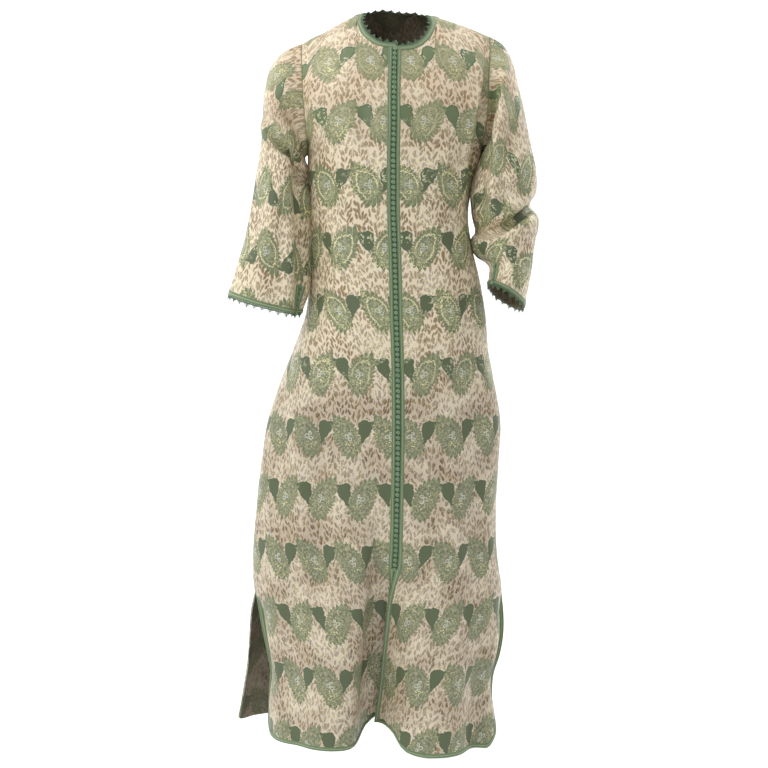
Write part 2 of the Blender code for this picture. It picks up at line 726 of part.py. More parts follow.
def knots(name, line, lift):
    """Knots strung close together along a line of (point, way out) pairs."""
    count = int(line_length(line) / BUTTON_PITCH)
    stations = walk(line, BUTTON_PITCH / 2, 2 * count + 1)
    maker = bmesh.new()
    rings = []
    for k, (point, way) in enumerate(stations):
        ahead = stations[min(k + 1, 2 * count)][0] - stations[max(k - 1, 0)][0]
        sideways = ahead.cross(way).normalized()
        size = 1.0 if k % 2 else BUTTON_WAIST
        ring = []
        for side in range(BUTTON_SIDES):
            angle = 2 * math.pi * side / BUTTON_SIDES
            offset = sideways * BUTTON_HALF_WIDTH * math.cos(angle)
            offset += way.normalized() * BUTTON_HALF_HEIGHT * math.sin(angle)
            ring.append(maker.verts.new(point + way.normalized() * lift + offset * size))
        rings.append(ring)
    for ring, following in zip(rings, rings[1:]):
        for k in range(BUTTON_SIDES):
            m = (k + 1) % BUTTON_SIDES
            maker.faces.new((ring[k], ring[m], following[m], following[k]))
    maker.faces.new(rings[0])
    maker.faces.new(rings[-1])
    return new_object(name, maker, knot_green)


def picot(name, line):
    """Crochet teeth on a narrow band past an edge, from (point, way out, way off the cloth)."""
    count = max(2, round(line_length(line) / PICOT_PITCH))
    stations = walk(line, line_length(line) / (4 * count), 4 * count + 1)
    heights = [PICOT_BAND, PICOT_BAND, PICOT_BAND + PICOT_HEIGHT, PICOT_BAND]

    def place(key):
        high, k = key
        point, way, away = stations[k]
        top = heights[k % 4] if high else 0.0
        edge = point + away.normalized() * (SEAM * 1.6 + top)
        return edge - way.normalized() * PICOT_INSET, edge - way.normalized() * (PICOT_INSET + PICOT_THICKNESS)

    faces = [[(0, k), (0, k + 1), (1, k + 1), (1, k)] for k in range(4 * count)]
    return wall(name, faces, place, braid_green)


def away_from(grid, r, c, inside):
    """(point, way out, way off the cloth) at an edge point, with its neighbour inside the piece."""
    point, way = grid.at(r, c)
    away = point - grid.points[inside[0]][inside[1]]
    return point, way, (away - away.dot(way) * way).normalized()


def across_seam(row, way_off):
    """The same row of vectors with another way off the cloth, kept level with the cloth."""
    point, way, _ = row
    return point, way, (way_off - way_off.dot(way) * way).normalized()


def joined(a, b):
    """Two such rows made one where two pieces meet."""
    return [first.lerp(second, 0.5) for first, second in zip(a, b)]


for startup in list(bpy.data.objects):
    bpy.data.objects.remove(startup)
kaftan = bpy.data.collections.new("moroccan_kaftan")
bpy.context.scene.collection.children.link(kaftan)

brocade = material("brocade", (0.62, 0.55, 0.38), 0.55)
braid_green = material("green_braid", (0.12, 0.29, 0.18), 0.6)
knot_green = material("green_knots", (0.08, 0.22, 0.13), 0.65)


# The three body pieces, on one set of rows so that their seams meet point for point.
fronts = {}
for wearer_side, corners in (("right", RIGHT_CORNERS), ("left", LEFT_CORNERS)):
    sheet = front_grid(wearer_side)
    round_hem(sheet, corners, HEM_LIFTS[wearer_side])
    fronts[wearer_side] = Grid(sheet, turned=wearer_side == "right")
sheet = back_grid()
round_hem(sheet, BACK_CORNERS)
back = Grid(sheet, turned=True)
LAST = back.rows - 1
SIDE = fronts["right"].columns - 1
NECK_POINT = 3 + [start for start, _ in FRONT_COLUMNS].index(NECK_HALF_WIDTH)
BACK_MIDDLE = back.columns // 2
BACK_NECK = [start for start, _ in BACK_COLUMNS].index(NECK_HALF_WIDTH)
slit_row = UPPER_ROWS + 1 + LOWER_ROWS.index(SLIT_TOP)
placket_row = UPPER_ROWS + 1 + LOWER_ROWS.index(PLACKET_END)
side_rows = range(UPPER_ROWS, slit_row + 1)
edge_rows = range(0, placket_row + 1)
shoulder = range(NECK_POINT, SIDE + 1)
edge = [(r, 0) for r in edge_rows]
signs = {"right": -1, "left": 1}
back_sides = {side: BACK_MIDDLE + sign * BACK_MIDDLE for side, sign in signs.items()}
back_shoulders = {
    side: [BACK_MIDDLE + sign * (c - NECK_POINT + BACK_NECK) for c in shoulder] for side, sign in signs.items()
}

# The seams: shoulders, sides and the meeting front edges. All share one way out before any is parted.
for wearer_side, front in fronts.items():
    own, other = [(r, SIDE) for r in side_rows], [(r, back_sides[wearer_side]) for r in side_rows]
    sew(front, own, back, other)
    sew(front, [(0, c) for c in shoulder], back, [(0, c) for c in back_shoulders[wearer_side]])
sew(fronts["right"], edge, fronts["left"], edge)
for wearer_side, front in fronts.items():
    sign, back_side = signs[wearer_side], back_sides[wearer_side]
    part_seam(front, [(r, SIDE) for r in side_rows], [(r, SIDE - 1) for r in side_rows])
    part_seam(back, [(r, back_side) for r in side_rows], [(r, back_side - sign) for r in side_rows])
    part_seam(front, [(0, c) for c in shoulder], [(1, c) for c in shoulder])
    over = back_shoulders[wearer_side]
    part_seam(back, [(0, c) for c in over], [(1, c) for c in over])
    part_seam(front, edge, [(r, 1) for r in edge_rows])

cloth("front_right", fronts["right"])
cloth("front_left", fronts["left"])
cloth("back", back)

# The sleeves, each from its armhole's own points.
sleeves = {}
for wearer_side, (table, slit_column, slit_angle) in SLEEVES.items():
    front, sign, back_side = fronts[wearer_side], signs[wearer_side], back_sides[wearer_side]
    ring = [away_from(front, r, SIDE, (r, SIDE - 1)) for r in range(UPPER_ROWS + 1)]
    ring += [away_from(back, r, back_side, (r, back_side - sign)) for r in range(UPPER_ROWS - 1, 0, -1)]
    ring[0] = across_seam(ring[0], Vector((sign, 0, 0)))
    ring[UPPER_ROWS] = across_seam(ring[UPPER_ROWS], Vector((0, 0, 1)))
    start = [point + away * SEAM * 1.5 for point, _, away in ring]
    sleeve = Grid(
        sleeve_grid(table, start, slit_column, slit_angle), closed=True, turned=wearer_side == "left"
    )
    for c, (_, _, away) in enumerate(ring):
        out = sleeve.out[0][c]
        sleeve.out[0][c] = (out - max(0.0, out.dot(away)) * away).normalized()
    sleeves[wearer_side] = sleeve
    slit = {(r, slit_column) for r in range(sleeve.rows - 4, sleeve.rows - 1)}
    cloth(f"sleeve_{wearer_side}", sleeve, sleeve.all_cells() - slit)

# The sfifa: one flat braid up the right front edge, round the neck and down the left one.
faces, same, moved = [], {}, {}
for wearer_side, front in fronts.items():
    cells = {(0, c) for c in range(NECK_POINT + 1)} | {(r, 1) for r in range(1, placket_row)}
    faces += front.faces(cells)
    for c in (1, 2):
        low, above = front.points[placket_row][c], front.points[placket_row - 1][c]
        moved[front, placket_row, c] = low + (above - low).normalized() * SEAM
    for c, over in zip(shoulder[:2], back_shoulders[wearer_side]):
        same[back, 0, over] = (front, 0, c)
        moved[front, 0, c] = front.points[0][c].lerp(back.points[0][over], 0.5)
reach = BACK_NECK + 1
faces += back.faces({(0, c) for c in range(BACK_MIDDLE - reach, BACK_MIDDLE + reach)})
braid("neck_and_front_braid", faces, same, moved)

# The hem braids: down each front edge below the buttons, along the hem and up the side slits.
up_slit = range(slit_row, LAST)
for wearer_side, front in fronts.items():
    cells = {(r, c) for r in range(placket_row, LAST) for c in (0, 1)}
    cells |= {(LAST - 1, c) for c in range(SIDE)} | {(r, SIDE - 1) for r in up_slit}
    braid(f"hem_braid_front_{wearer_side}", front.faces(cells))
cells = {(LAST - 1, c) for c in range(back.columns - 1)}
cells |= {(r, c) for r in up_slit for c in (0, back.columns - 2)}
braid("hem_braid_back", back.faces(cells))

# A short braid holds the top of each side slit.
for wearer_side, front in fronts.items():
    back_side, inner = back_sides[wearer_side], back_sides[wearer_side] - signs[wearer_side]
    faces = front.faces({(slit_row - 1, SIDE - 1)})
    faces += back.faces({(slit_row - 1, min(back_side, inner))})
    same, moved = {}, {}
    for r in (slit_row - 1, slit_row):
        same[back, r, back_side] = (front, r, SIDE)
        moved[front, r, SIDE] = front.points[r][SIDE].lerp(back.points[r][back_side], 0.5)
    for key in ((front, slit_row, SIDE - 1), (front, slit_row, SIDE), (back, slit_row, inner)):
        grid, r, c = key
        low = moved.get(key, grid.points[r][c])
        moved[key] = low + (grid.points[r - 1][c] - low).normalized() * SEAM * 1.5
    braid(f"slit_tack_{wearer_side}", faces, same, moved)

# The aakad: one string of knots that closes the front.
middle = []
for r in range(1, placket_row + 1):
    low = fronts["right"].points[r][0].lerp(fronts["left"].points[r][0], 0.5)
    middle.append([low, fronts["right"].out[r][0].copy()])
middle[0][0] += (middle[1][0] - middle[0][0]).normalized() * SEAM * 2
middle[-1][0] += middle[-1][1] * LAST_KNOT_RISE
knots("front_knots", middle, KNOT_LIFT)

# Crochet teeth inside the neck braid.
line = [away_from(fronts["right"], 0, c, (1, c)) for c in range(NECK_POINT + 1)]
right_join = away_from(back, 0, BACK_MIDDLE - BACK_NECK, (1, BACK_MIDDLE - BACK_NECK))
left_join = away_from(back, 0, BACK_MIDDLE + BACK_NECK, (1, BACK_MIDDLE + BACK_NECK))
line[-1] = joined(line[-1], right_join)
line += [away_from(back, 0, c, (1, c)) for c in range(BACK_MIDDLE - BACK_NECK + 1, BACK_MIDDLE + BACK_NECK)]
down_left = [away_from(fronts["left"], 0, c, (1, c)) for c in range(NECK_POINT, -1, -1)]
down_left[0] = joined(down_left[0], left_join)
picot("neck_picot", line + down_left)

# Each cuff: a braid round it and up both sides of the slit, knots over the slit, and teeth below.
for wearer_side, sleeve in sleeves.items():
    slit_column = SLEEVES[wearer_side][1]
    low = sleeve.rows - 1
    cells = {(low - 1, c) for c in range(sleeve.columns) if c != slit_column}
    cells |= {(r, c) for r in range(low - 3, low - 1) for c in (slit_column - 1, slit_column + 1)}
    braid(f"cuff_braid_{wearer_side}", sleeve.faces(cells))
    beside = slit_column + 1
    slit_line = []
    for r in range(low - 3, low + 1):
        (a, way_a), (b, way_b) = sleeve.at(r, slit_column), sleeve.at(r, beside)
        slit_line.append([a.lerp(b, 0.5), (way_a + way_b).normalized()])
    knots(f"cuff_knots_{wearer_side}", slit_line, CUFF_KNOT_LIFT)
    order = [(beside + k) % sleeve.columns for k in range(sleeve.columns)]
    picot(f"cuff_picot_{wearer_side}", [away_from(sleeve, low, c, (low - 1, c)) for c in order])
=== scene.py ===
# %% [markdown]
# # A moroccan kaftan
# This notebook dresses the frame of a long brocade kaftan: cloth, braids, crochet edging and a
# string of knots. It starts with the frame, because every later piece has to sit on it.

import math
from itertools import accumulate

import bmesh
import bpy
import numpy as np
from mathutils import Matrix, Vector, noise


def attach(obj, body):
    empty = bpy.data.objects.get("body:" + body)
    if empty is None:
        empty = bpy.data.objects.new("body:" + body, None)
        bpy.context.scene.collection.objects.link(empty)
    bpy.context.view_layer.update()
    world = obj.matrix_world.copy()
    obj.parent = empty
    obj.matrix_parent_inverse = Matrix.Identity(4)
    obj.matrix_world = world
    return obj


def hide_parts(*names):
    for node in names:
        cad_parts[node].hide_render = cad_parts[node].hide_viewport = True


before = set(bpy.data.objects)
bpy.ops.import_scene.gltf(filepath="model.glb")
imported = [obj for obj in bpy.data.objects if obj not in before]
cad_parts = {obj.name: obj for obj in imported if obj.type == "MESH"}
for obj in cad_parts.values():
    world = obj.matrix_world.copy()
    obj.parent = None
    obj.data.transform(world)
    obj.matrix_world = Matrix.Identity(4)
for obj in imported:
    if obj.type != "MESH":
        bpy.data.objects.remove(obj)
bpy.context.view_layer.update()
print("nodes in the frame:", len(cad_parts))

# %% [markdown]
# ## Sizes
# These sizes are in metres. A garment is planned from its main heights, neck and trims. They could
# be typed wherever they are used, but one list keeps the cloth and its trims in step.

# %% Sizes
CLOTH = 0.0014
UNDERARM = -0.250
PLACKET_END = -1.035
SLIT_TOP = -1.100
HEM = -1.385
CORNER_FROM = -1.260
NECK_HALF_WIDTH = 0.070
NECK_DROP_FRONT = 0.135
NECK_SQUARENESS = 2.8
NECK_DROP_BACK = 0.026
NECK_BRAID = 0.008
NECK_BRAID_OVER = 0.0072  # how far the neck's braid reaches down from the shoulder line
SHOULDER_ROUND = 0.100
PLACKET_IN = 0.0044
PLACKET_OUT = 0.0120
EDGE_BRAID = 0.0085
CUFF_BRAID = 0.0100
CUFF_SLIT = 0.066
CUFF_SLIT_GAP = 0.0024
CUFF_SLIT_BRAID = 0.0080
RIGHT_CORNERS = [
    (True, [(0.0, 0.049), (0.024, 0.028), (0.046, 0.014), (0.069, 0.007), (0.110, 0.0)]),
    (False, [(0.0, 0.057), (0.008, 0.044), (0.025, 0.025), (0.045, 0.012), (0.064, 0.005), (0.100, 0.0)]),
]
LEFT_CORNERS = [
    (True, [(0.0, 0.042), (0.017, 0.041), (0.039, 0.039), (0.054, 0.033), (0.072, 0.020), (0.125, 0.0)]),
    (False, [(0.0, 0.043), (0.012, 0.030), (0.025, 0.019), (0.046, 0.010), (0.062, 0.0)]),
]
BACK_CORNERS = [(start, [(0.0, 0.020), (0.010, 0.008), (0.030, 0.0)]) for start in (True, False)]
HEM_LIFTS = {"right": 0.012, "left": 0.0}
SIGNS = {"right": -1, "left": 1}  # of x on each side
UPPER_ROWS = 10
ARMHOLE_FROM_X = 0.178  # where the search for an armhole's edge starts
ARMHOLE_TRIES = 12  # it has settled well before this
UNDERARM_X = 0.170
ARMHOLE_MARGIN = 0.004  # the columns stay at least this far inside the armhole
COLUMN_MARGIN = 0.012  # and the middle ones this much further
BAND_SHARE = 0.93  # the last column before the side, as a share of the way there
EDGE_BRAID_START = 0.0020  # the first column below the buttons
CUFF_RADIUS = 0.055  # the mean radius of a cuff
CUFF_FROM = 0.85  # the sleeve's length is measured from here to the cuff
LEAN_BY = 0.5  # from this section on, a sleeve's ends lie midway between its front and back
MEASURING_STEPS = 400  # to measure along the cloth from its middle to its side
SEGMENT = 2.35  # squareness of the body's level sections: 2 is an ellipse
print("length from shoulder to hem:", -HEM)

# %% [markdown]
# ## Tables
# The worn form is written as short tables: the body at each height, the armholes, the shoulders,
# the folds and the sleeves. A smooth curve reads them at any place between their rows. Their
# lengths are typed in millimetres and their shares in thousandths.

# %% Tables
def cubic(t, start, end, rise):
    """How far a smooth curve has risen at t from 0 to 1, with its slopes at the start and the end."""
    return t * (start + t * (3 * rise - 2 * start - end + t * (start + end - 2 * rise)))


class Table:
    """Rows of named numbers, typed in thousandths. A smooth curve reads them at any place."""

    def __init__(self, names, text):
        self.names = names.split()
        numbers = [float(word) / 1000 for word in text.split()]
        self.rows = sorted(zip(*[iter(numbers)] * len(self.names)))

    def at(self, name, place):
        column = self.names.index(name)
        keys = [row[0] for row in self.rows]
        values = [row[column] for row in self.rows]
        place = min(max(place, keys[0]), keys[-1])
        last = len(keys) - 1
        i = min(max(sum(key <= place for key in keys) - 1, 0), last - 1)

        def slope(k):
            low, high = max(k - 1, 0), min(k + 1, last)
            return (values[high] - values[low]) / (keys[high] - keys[low])

        span = keys[i + 1] - keys[i]
        t = (place - keys[i]) / span
        rise = values[i + 1] - values[i]
        start, end = slope(i) * span, slope(i + 1) * span
        return values[i] + cubic(t, start, end, rise)


# The worn body: the side seams, the placket line, and how far the cloth reaches forward and back.
BODY = Table("z right left centre front back", """
       30 -205 205  -3  75  62
      -50 -206 204  -3  88  78
     -100 -203 201  -4 104  92
     -150 -198 195  -5 120 100
     -200 -186 183  -5 128 104
     -250 -170 163  -6 130 103
     -350 -169 140  -6 124  96
     -400 -168 138  -5 122  98
     -450 -168 151  -3 123 106
     -550 -173 172  -1 128 122
     -650 -208 182   2 134 132
     -750 -246 203   3 138 136
     -850 -263 200   2 142 138
     -950 -274 194   0 147 142
    -1035 -279 199  -3 152 146
    -1070 -278 203 -10 154 148
    -1100 -275 206 -16 156 150
    -1150 -273 210 -21 160 153
    -1210 -271 202 -27 165 157
    -1280 -270 191 -34 170 161
    -1340 -270 194 -42 174 165
    -1385 -272 198 -47 176 168
""")

# Below the side slits the front and the back hang apart: how far each edge stands off the side line.
SLIT_COLUMNS = "z front_right_x front_right_y front_left_x front_left_y "
SLIT_COLUMNS += "back_right_x back_right_y back_left_x back_left_y"
SLITS = Table(SLIT_COLUMNS, """
    -1100  0  0  0   0   0  0   0  0
    -1150  8 -5  0 -10 -12 10  -8  8
    -1200 15 -6  3 -20 -18 20 -16 18
    -1250 23 -4 -3 -28 -24 32 -20 28
    -1300 21  2 -6 -34 -32 44 -18 38
    -1385 17 12 -3 -48 -46 60 -12 50
""")

# How far out the armholes are cut, as a share of the way to the side line.
ARMHOLES = Table("z front back", """
       0  872  872
     -50  874  876
    -100  876  884
    -150  888  900
    -185  912  922
    -215  944  950
    -236  974  977
    -250 1000 1000
""")

# The line of each shoulder, from the middle of the neck to past the armhole.
SHOULDERS = Table("x right left", """
      0  24  19
     35  22  17
     70  12 8.5
    110  -8  -5
    150 -28 -19
    180 -43 -30
    220 -64 -46
""")

# Upright folds: depth is at the hem and is counted backwards, and a ridge has a minus.
FOLD_COLUMNS = "top high_x low_x width depth"
FRONT_FOLDS = Table(FOLD_COLUMNS, """
     -860   -2  -40   44   98
    -1140  158  152   20   26
     -620 -165 -196   16   10
     -700   90   84   18   -6
     -600  -75 -100   26   -7
""").rows
BACK_FOLDS = Table(FOLD_COLUMNS, """
     -520 -110 -170   26  -26
     -450  -30  -72   24  -34
     -580   30   18   22  -26
     -500   92  104   26  -30
""").rows

# Where the right front passes behind the left one, below the buttons.
BEHIND = Table("z lap depth", """
     -980  0  0
    -1035  0  4
    -1070  5 10
    -1120 10 15
    -1200 14 20
    -1385 16 23
""")
BEHIND_WIDTH = 0.030

# Each sleeve as a row of slanting sections: its outer and inner ends, its front and back, and how
# much the front of a section is raised above its ends.
SLEEVE_COLUMNS = "step outer_x outer_z inner_x inner_z front back lift"
RIGHT_SLEEVE = Table(SLEEVE_COLUMNS, """
       0 -179  -43 -172 -250  -66 62  0
      80 -221  -63 -180 -258  -73 66  0
     150 -243  -96 -177 -270  -82 64  0
     240 -254 -148 -171 -290  -92 58  0
     310 -257 -190 -170 -312  -80 54 -4
     370 -257 -224 -169 -336  -99 50  0
     500 -266 -284 -169 -384 -102 42  0
     620 -276 -346 -169 -430 -104 34  0
     740 -287 -406 -170 -470 -106 26  0
     870 -303 -464 -172 -512 -108 16  0
    1000 -319 -520 -183 -556 -110  4 -4
""")
LEFT_SLEEVE = Table(SLEEVE_COLUMNS, """
       0 177  -30 168 -250  -66 62  0
      70 207  -47 175 -259  -73 66  0
     140 223  -78 167 -270  -80 64  0
     220 233 -116 158 -288  -88 60  0
     320 244 -165 149 -312  -92 56  0
     420 255 -226 145 -338  -93 54  0
     520 266 -280 145 -362  -93 53  0
     600 267 -328 151 -386  -92 52  0
     660 257 -350 157 -404  -66 54 -6
     720 272 -374 149 -424  -94 60  0
     800 265 -424 159 -446 -100 52  4
     890 257 -480 177 -466 -104 40  9
    1000 244 -546 174 -501 -106 18 12
""")
# Each sleeve's sections, the column before its cuff slit, and the angle of the slit.
SLEEVES = {"right": (RIGHT_SLEEVE, 8, math.radians(158)), "left": (LEFT_SLEEVE, 8, math.radians(140))}
SLEEVE_BLEND = 0.16  # the armhole's outline has turned into the first plain section here
SLEEVE_ROWS = [0.035, 0.08, 0.13, 0.18, 0.24, 0.31, 0.37, 0.44, 0.52, 0.60, 0.66, 0.72, 0.80]

# Columns of a body panel from the middle to the side: where each starts on the neck or shoulder,
# and its place lower down as a share of the way to the side.
FRONT_COLUMNS = [(0.034, 0.05), (0.054, 0.13), (0.066, 0.22), (0.070, 0.33), (0.0785, 0.45), (0.104, 0.59)]
FRONT_COLUMNS += [(0.132, 0.73), (0.149, 0.87)]
BACK_COLUMNS = [(0.000, 0.00), (0.026, 0.12), (0.050, 0.24), (0.070, 0.36), (0.0785, 0.48), (0.104, 0.61)]
BACK_COLUMNS += [(0.132, 0.75), (0.149, 0.88)]
BAND_START = 0.164  # the last column before the side starts here on the shoulder

LOWER_ROWS = [-0.31, -0.37, -0.43, -0.49, -0.56, -0.63, -0.70, -0.77, -0.84, -0.91, -0.975]
LOWER_ROWS += [PLACKET_END, -1.07, SLIT_TOP, -1.14, -1.18, -1.22, CORNER_FROM, -1.30, -1.33, -1.355]
LOWER_HEIGHTS = [UNDERARM] + LOWER_ROWS + [HEM + EDGE_BRAID, HEM]
print("heights in the body table:", len(BODY.rows))

# %% [markdown]
# ## The form of the worn body
# A point of the cloth comes from its height and its place round the body. Above the underarm the
# cloth rolls over the shoulders, and columns fan out from the neck to the armhole.

# %% The form of the worn body
def signed_power(value, power):
    return math.copysign(abs(value) ** power, value)


def ease(t):
    t = min(max(t, 0.0), 1.0)
    return t * t * (3 - 2 * t)


def side_name(a):
    return "right" if a < 0 else "left"


def side_line(part, side, z):
    """(x, y) of the side seam or, below the slit's top, of that panel's free edge."""
    if z >= SLIT_TOP:
        return BODY.at(side, z), 0.0
    return BODY.at(side, z) + SLITS.at(f"{part}_{side}_x", z), SLITS.at(f"{part}_{side}_y", z)


def across(part, a, z):
    """x of the body's section at height z: a runs from -1, the right side, over 0 to 1, the left."""
    centre = BODY.at("centre", z)
    reach = abs(side_line(part, side_name(a), z)[0] - centre)
    return centre + reach * signed_power(math.sin(a * math.pi / 2), 2 / SEGMENT)


def along(part, x, z):
    """The a whose x is this one: across, turned round."""
    centre = BODY.at("centre", z)
    reach = abs(side_line(part, "right" if x < centre else "left", z)[0] - centre)
    share = min(max((x - centre) / reach, -1.0), 1.0)
    return math.asin(signed_power(share, SEGMENT / 2)) * 2 / math.pi


def fold_depth(folds, x, z):
    depth = 0.0
    for top, high_x, low_x, width, deep in folds:
        ramp = ease((top - z) / (top - HEM))
        middle = high_x + (low_x - high_x) * ramp
        depth += deep * ramp * math.exp(-(((x - middle) / width) ** 2))
    return depth


def skin(part, a, z, rounding=1.0, behind=False):
    """A point on the outside of the body, front or back."""
    x = across(part, a, z)
    edge_y = side_line(part, side_name(a), z)[1]
    depth = -BODY.at("front", z) if part == "front" else BODY.at("back", z)
    bulge = signed_power(math.cos(a * math.pi / 2), 2 / SEGMENT)
    y = (edge_y + (depth - edge_y) * bulge) * rounding
    folds = FRONT_FOLDS if part == "front" else BACK_FOLDS
    y += fold_depth(folds, x, z) * min(1.0, 3 * (1 - abs(a))) * (1 if part == "front" else -1)
    if behind:
        nearness = 1 - (BODY.at("centre", z) - x) / BEHIND_WIDTH
        y += BEHIND.at("depth", z) * ease(nearness)
    return Vector((x, y, z))


def shoulder_line(x):
    return SHOULDERS.at(side_name(x), abs(x))


def fall(v):
    """How far below the shoulder line the cloth is, a distance v down from it."""
    turn = SHOULDER_ROUND * math.pi / 2
    if v < turn:
        return SHOULDER_ROUND * (1 - math.cos(v / SHOULDER_ROUND))
    return SHOULDER_ROUND + v - turn


def fall_from(drop):
    """The distance v down the cloth that gives this fall."""
    if drop < SHOULDER_ROUND:
        return SHOULDER_ROUND * math.acos(1 - max(drop, 0.0) / SHOULDER_ROUND)
    return drop - SHOULDER_ROUND + SHOULDER_ROUND * math.pi / 2


def roll(v):
    return math.sin(min(v / SHOULDER_ROUND, math.pi / 2))


def near_shoulder(part, x, v):
    """A point on the body a distance v down the cloth from the shoulder line, at this x."""
    z = shoulder_line(x) - fall(v)
    return skin(part, along(part, x, z), z, roll(v))


def armhole_x(part, side, v):
    """x of the armhole's edge, a distance v down from the shoulder line."""
    x = SIGNS[side] * ARMHOLE_FROM_X
    for _ in range(ARMHOLE_TRIES):
        z = shoulder_line(x) - fall(v)
        centre = BODY.at("centre", z)
        x = centre + (side_line(part, side, z)[0] - centre) * ARMHOLES.at(part, z)
    return x


def underarm_v(x):
    return fall_from(shoulder_line(x) - UNDERARM)


def neck_v(part, x):
    """How far down the cloth the neckline lies at this x."""
    drop = NECK_DROP_FRONT if part == "front" else NECK_DROP_BACK
    share = min(abs(x) / NECK_HALF_WIDTH, 1.0)
    return drop * (1 - share**NECK_SQUARENESS) ** (1 / NECK_SQUARENESS)


def below_neck(part, x):
    """The point NECK_BRAID in from the neckline, as (x, v)."""
    drop = NECK_DROP_FRONT if part == "front" else NECK_DROP_BACK
    v = neck_v(part, x)
    across_pull = (x / NECK_HALF_WIDTH) ** (NECK_SQUARENESS - 1) / NECK_HALF_WIDTH
    down_pull = (v / drop) ** (NECK_SQUARENESS - 1) / drop
    size = math.hypot(across_pull, down_pull)
    return x + NECK_BRAID * across_pull / size, v + NECK_BRAID * down_pull / size


def armhole_point(part, side, row):
    """A point of an armhole's edge, whose rows share its height out evenly."""
    bottom_x = armhole_x(part, side, underarm_v(SIGNS[side] * UNDERARM_X))
    v = underarm_v(bottom_x) * row / UPPER_ROWS
    return near_shoulder(part, armhole_x(part, side, v), v)


def upper_point(part, side, start_x, share, row):
    """A point above the underarm, on the column that starts at start_x on the neck or shoulder."""
    sign = SIGNS[side]
    on_neck = start_x <= NECK_HALF_WIDTH
    top = (start_x, neck_v(part, start_x) if on_neck else 0.0)
    if start_x < NECK_HALF_WIDTH:
        first = below_neck(part, start_x)
    elif on_neck:
        first = (start_x + NECK_BRAID_OVER, NECK_BRAID_OVER)
    else:
        # The braid's corner pushes the columns beside it outwards, the nearest ones most.
        push = math.exp(-(start_x - NECK_HALF_WIDTH) / NECK_BRAID)
        first = (start_x + NECK_BRAID_OVER * push, NECK_BRAID_OVER)
    if row == 0:
        return near_shoulder(part, sign * top[0], top[1])
    if row == 1:
        return near_shoulder(part, sign * first[0], first[1])
    t = (row - 1) / (UPPER_ROWS - 1)
    low_x = across(part, sign * share, UNDERARM)
    v = first[1] + (underarm_v(low_x) - first[1]) * t
    x = sign * first[0] + (low_x - sign * first[0]) * t
    # Between the neck and the armhole the columns keep their order as the armhole narrows the row.
    limit = abs(armhole_x(part, side, v)) - ARMHOLE_MARGIN - COLUMN_MARGIN * (1 - share)
    return near_shoulder(part, sign * min(abs(x), limit), v)


def share_at(part, side, z, distance):
    """The a at this distance along the cloth from the side edge."""
    sign, gone = SIGNS[side], 0.0
    last = skin(part, sign * 1.0, z)
    for k in range(1, MEASURING_STEPS):
        place = 1 - k / MEASURING_STEPS
        point = skin(part, sign * place, z)
        step = (point - last).length
        if gone + step >= distance:
            before = place + 1 / MEASURING_STEPS
            return sign * (before + (place - before) * (distance - gone) / step)
        gone += step
        last = point
    return sign * place


print("front neck, lowest point:", tuple(round(c, 3) for c in near_shoulder("front", 0.0, NECK_DROP_FRONT)))

# %% [markdown]
# ## Pattern pieces
# A front, a back and a sleeve as nets of points in rows and columns, as a cutter would mark the
# grain on the cloth. Rounded hem corners slide the points up their own columns.

# %% Pattern pieces
def front_grid(side):
    """One front: its columns run from the front edge to the side seam and the armhole."""
    sign = SIGNS[side]
    shares = [share for _, share in FRONT_COLUMNS]
    starts = [start for start, _ in FRONT_COLUMNS]
    points = []
    for row in range(UPPER_ROWS):
        # The placket's columns run straight down beside the front edge.
        line = []
        for reach in (0.0, PLACKET_IN, PLACKET_OUT):
            drop = max(0, row - 1) / (UPPER_ROWS - 1)
            neck_x = BODY.at("centre", -NECK_DROP_FRONT / 2) + sign * reach
            v = neck_v("front", neck_x) + (NECK_BRAID if row else 0.0)
            v += (underarm_v(neck_x) - v) * drop
            x = BODY.at("centre", shoulder_line(neck_x) - fall(v)) + sign * reach
            line.append(near_shoulder("front", x, v))
        line += [upper_point("front", side, start, share, row) for start, share in zip(starts, shares)]
        line.append(upper_point("front", side, BAND_START, BAND_SHARE, row))
        points.append(line + [armhole_point("front", side, row)])
    for z in LOWER_HEIGHTS:
        lap = BEHIND.at("lap", z) if side == "right" else 0.0
        centre = BODY.at("centre", z)
        buttoned = z >= PLACKET_END
        reaches = [0.0, PLACKET_IN, PLACKET_OUT] if buttoned else [0.0, EDGE_BRAID_START, EDGE_BRAID]
        ways = [along("front", centre + sign * (reach - lap), z) for reach in reaches]
        band = share_at("front", side, z, EDGE_BRAID)
        start = abs(ways[2]) if lap == 0 else 0.0
        ways += [sign * (start + (abs(band) - start) * share) for share in shares]
        ways += [band, sign * 1.0]
        points.append([skin("front", a, z, behind=side == "right") for a in ways])
    return points


def back_grid():
    """The back: its columns run from the right side seam to the left one."""
    def upper_half(side, row):
        columns = BACK_COLUMNS + [(BAND_START, BAND_SHARE)]
        line = [upper_point("back", side, start, share, row) for start, share in columns]
        return line + [armhole_point("back", side, row)]

    def lower_half(side, z):
        band = abs(share_at("back", side, z, EDGE_BRAID))
        ways = [band * share for _, share in BACK_COLUMNS] + [band, 1.0]
        return [skin("back", SIGNS[side] * a, z) for a in ways]

    rows = [(upper_half, row) for row in range(UPPER_ROWS)] + [(lower_half, z) for z in LOWER_HEIGHTS]
    return [half("right", place)[:0:-1] + half("left", place) for half, place in rows]


def lengths_along(line):
    return [0.0, *accumulate((b - a).length for a, b in zip(line, line[1:]))]


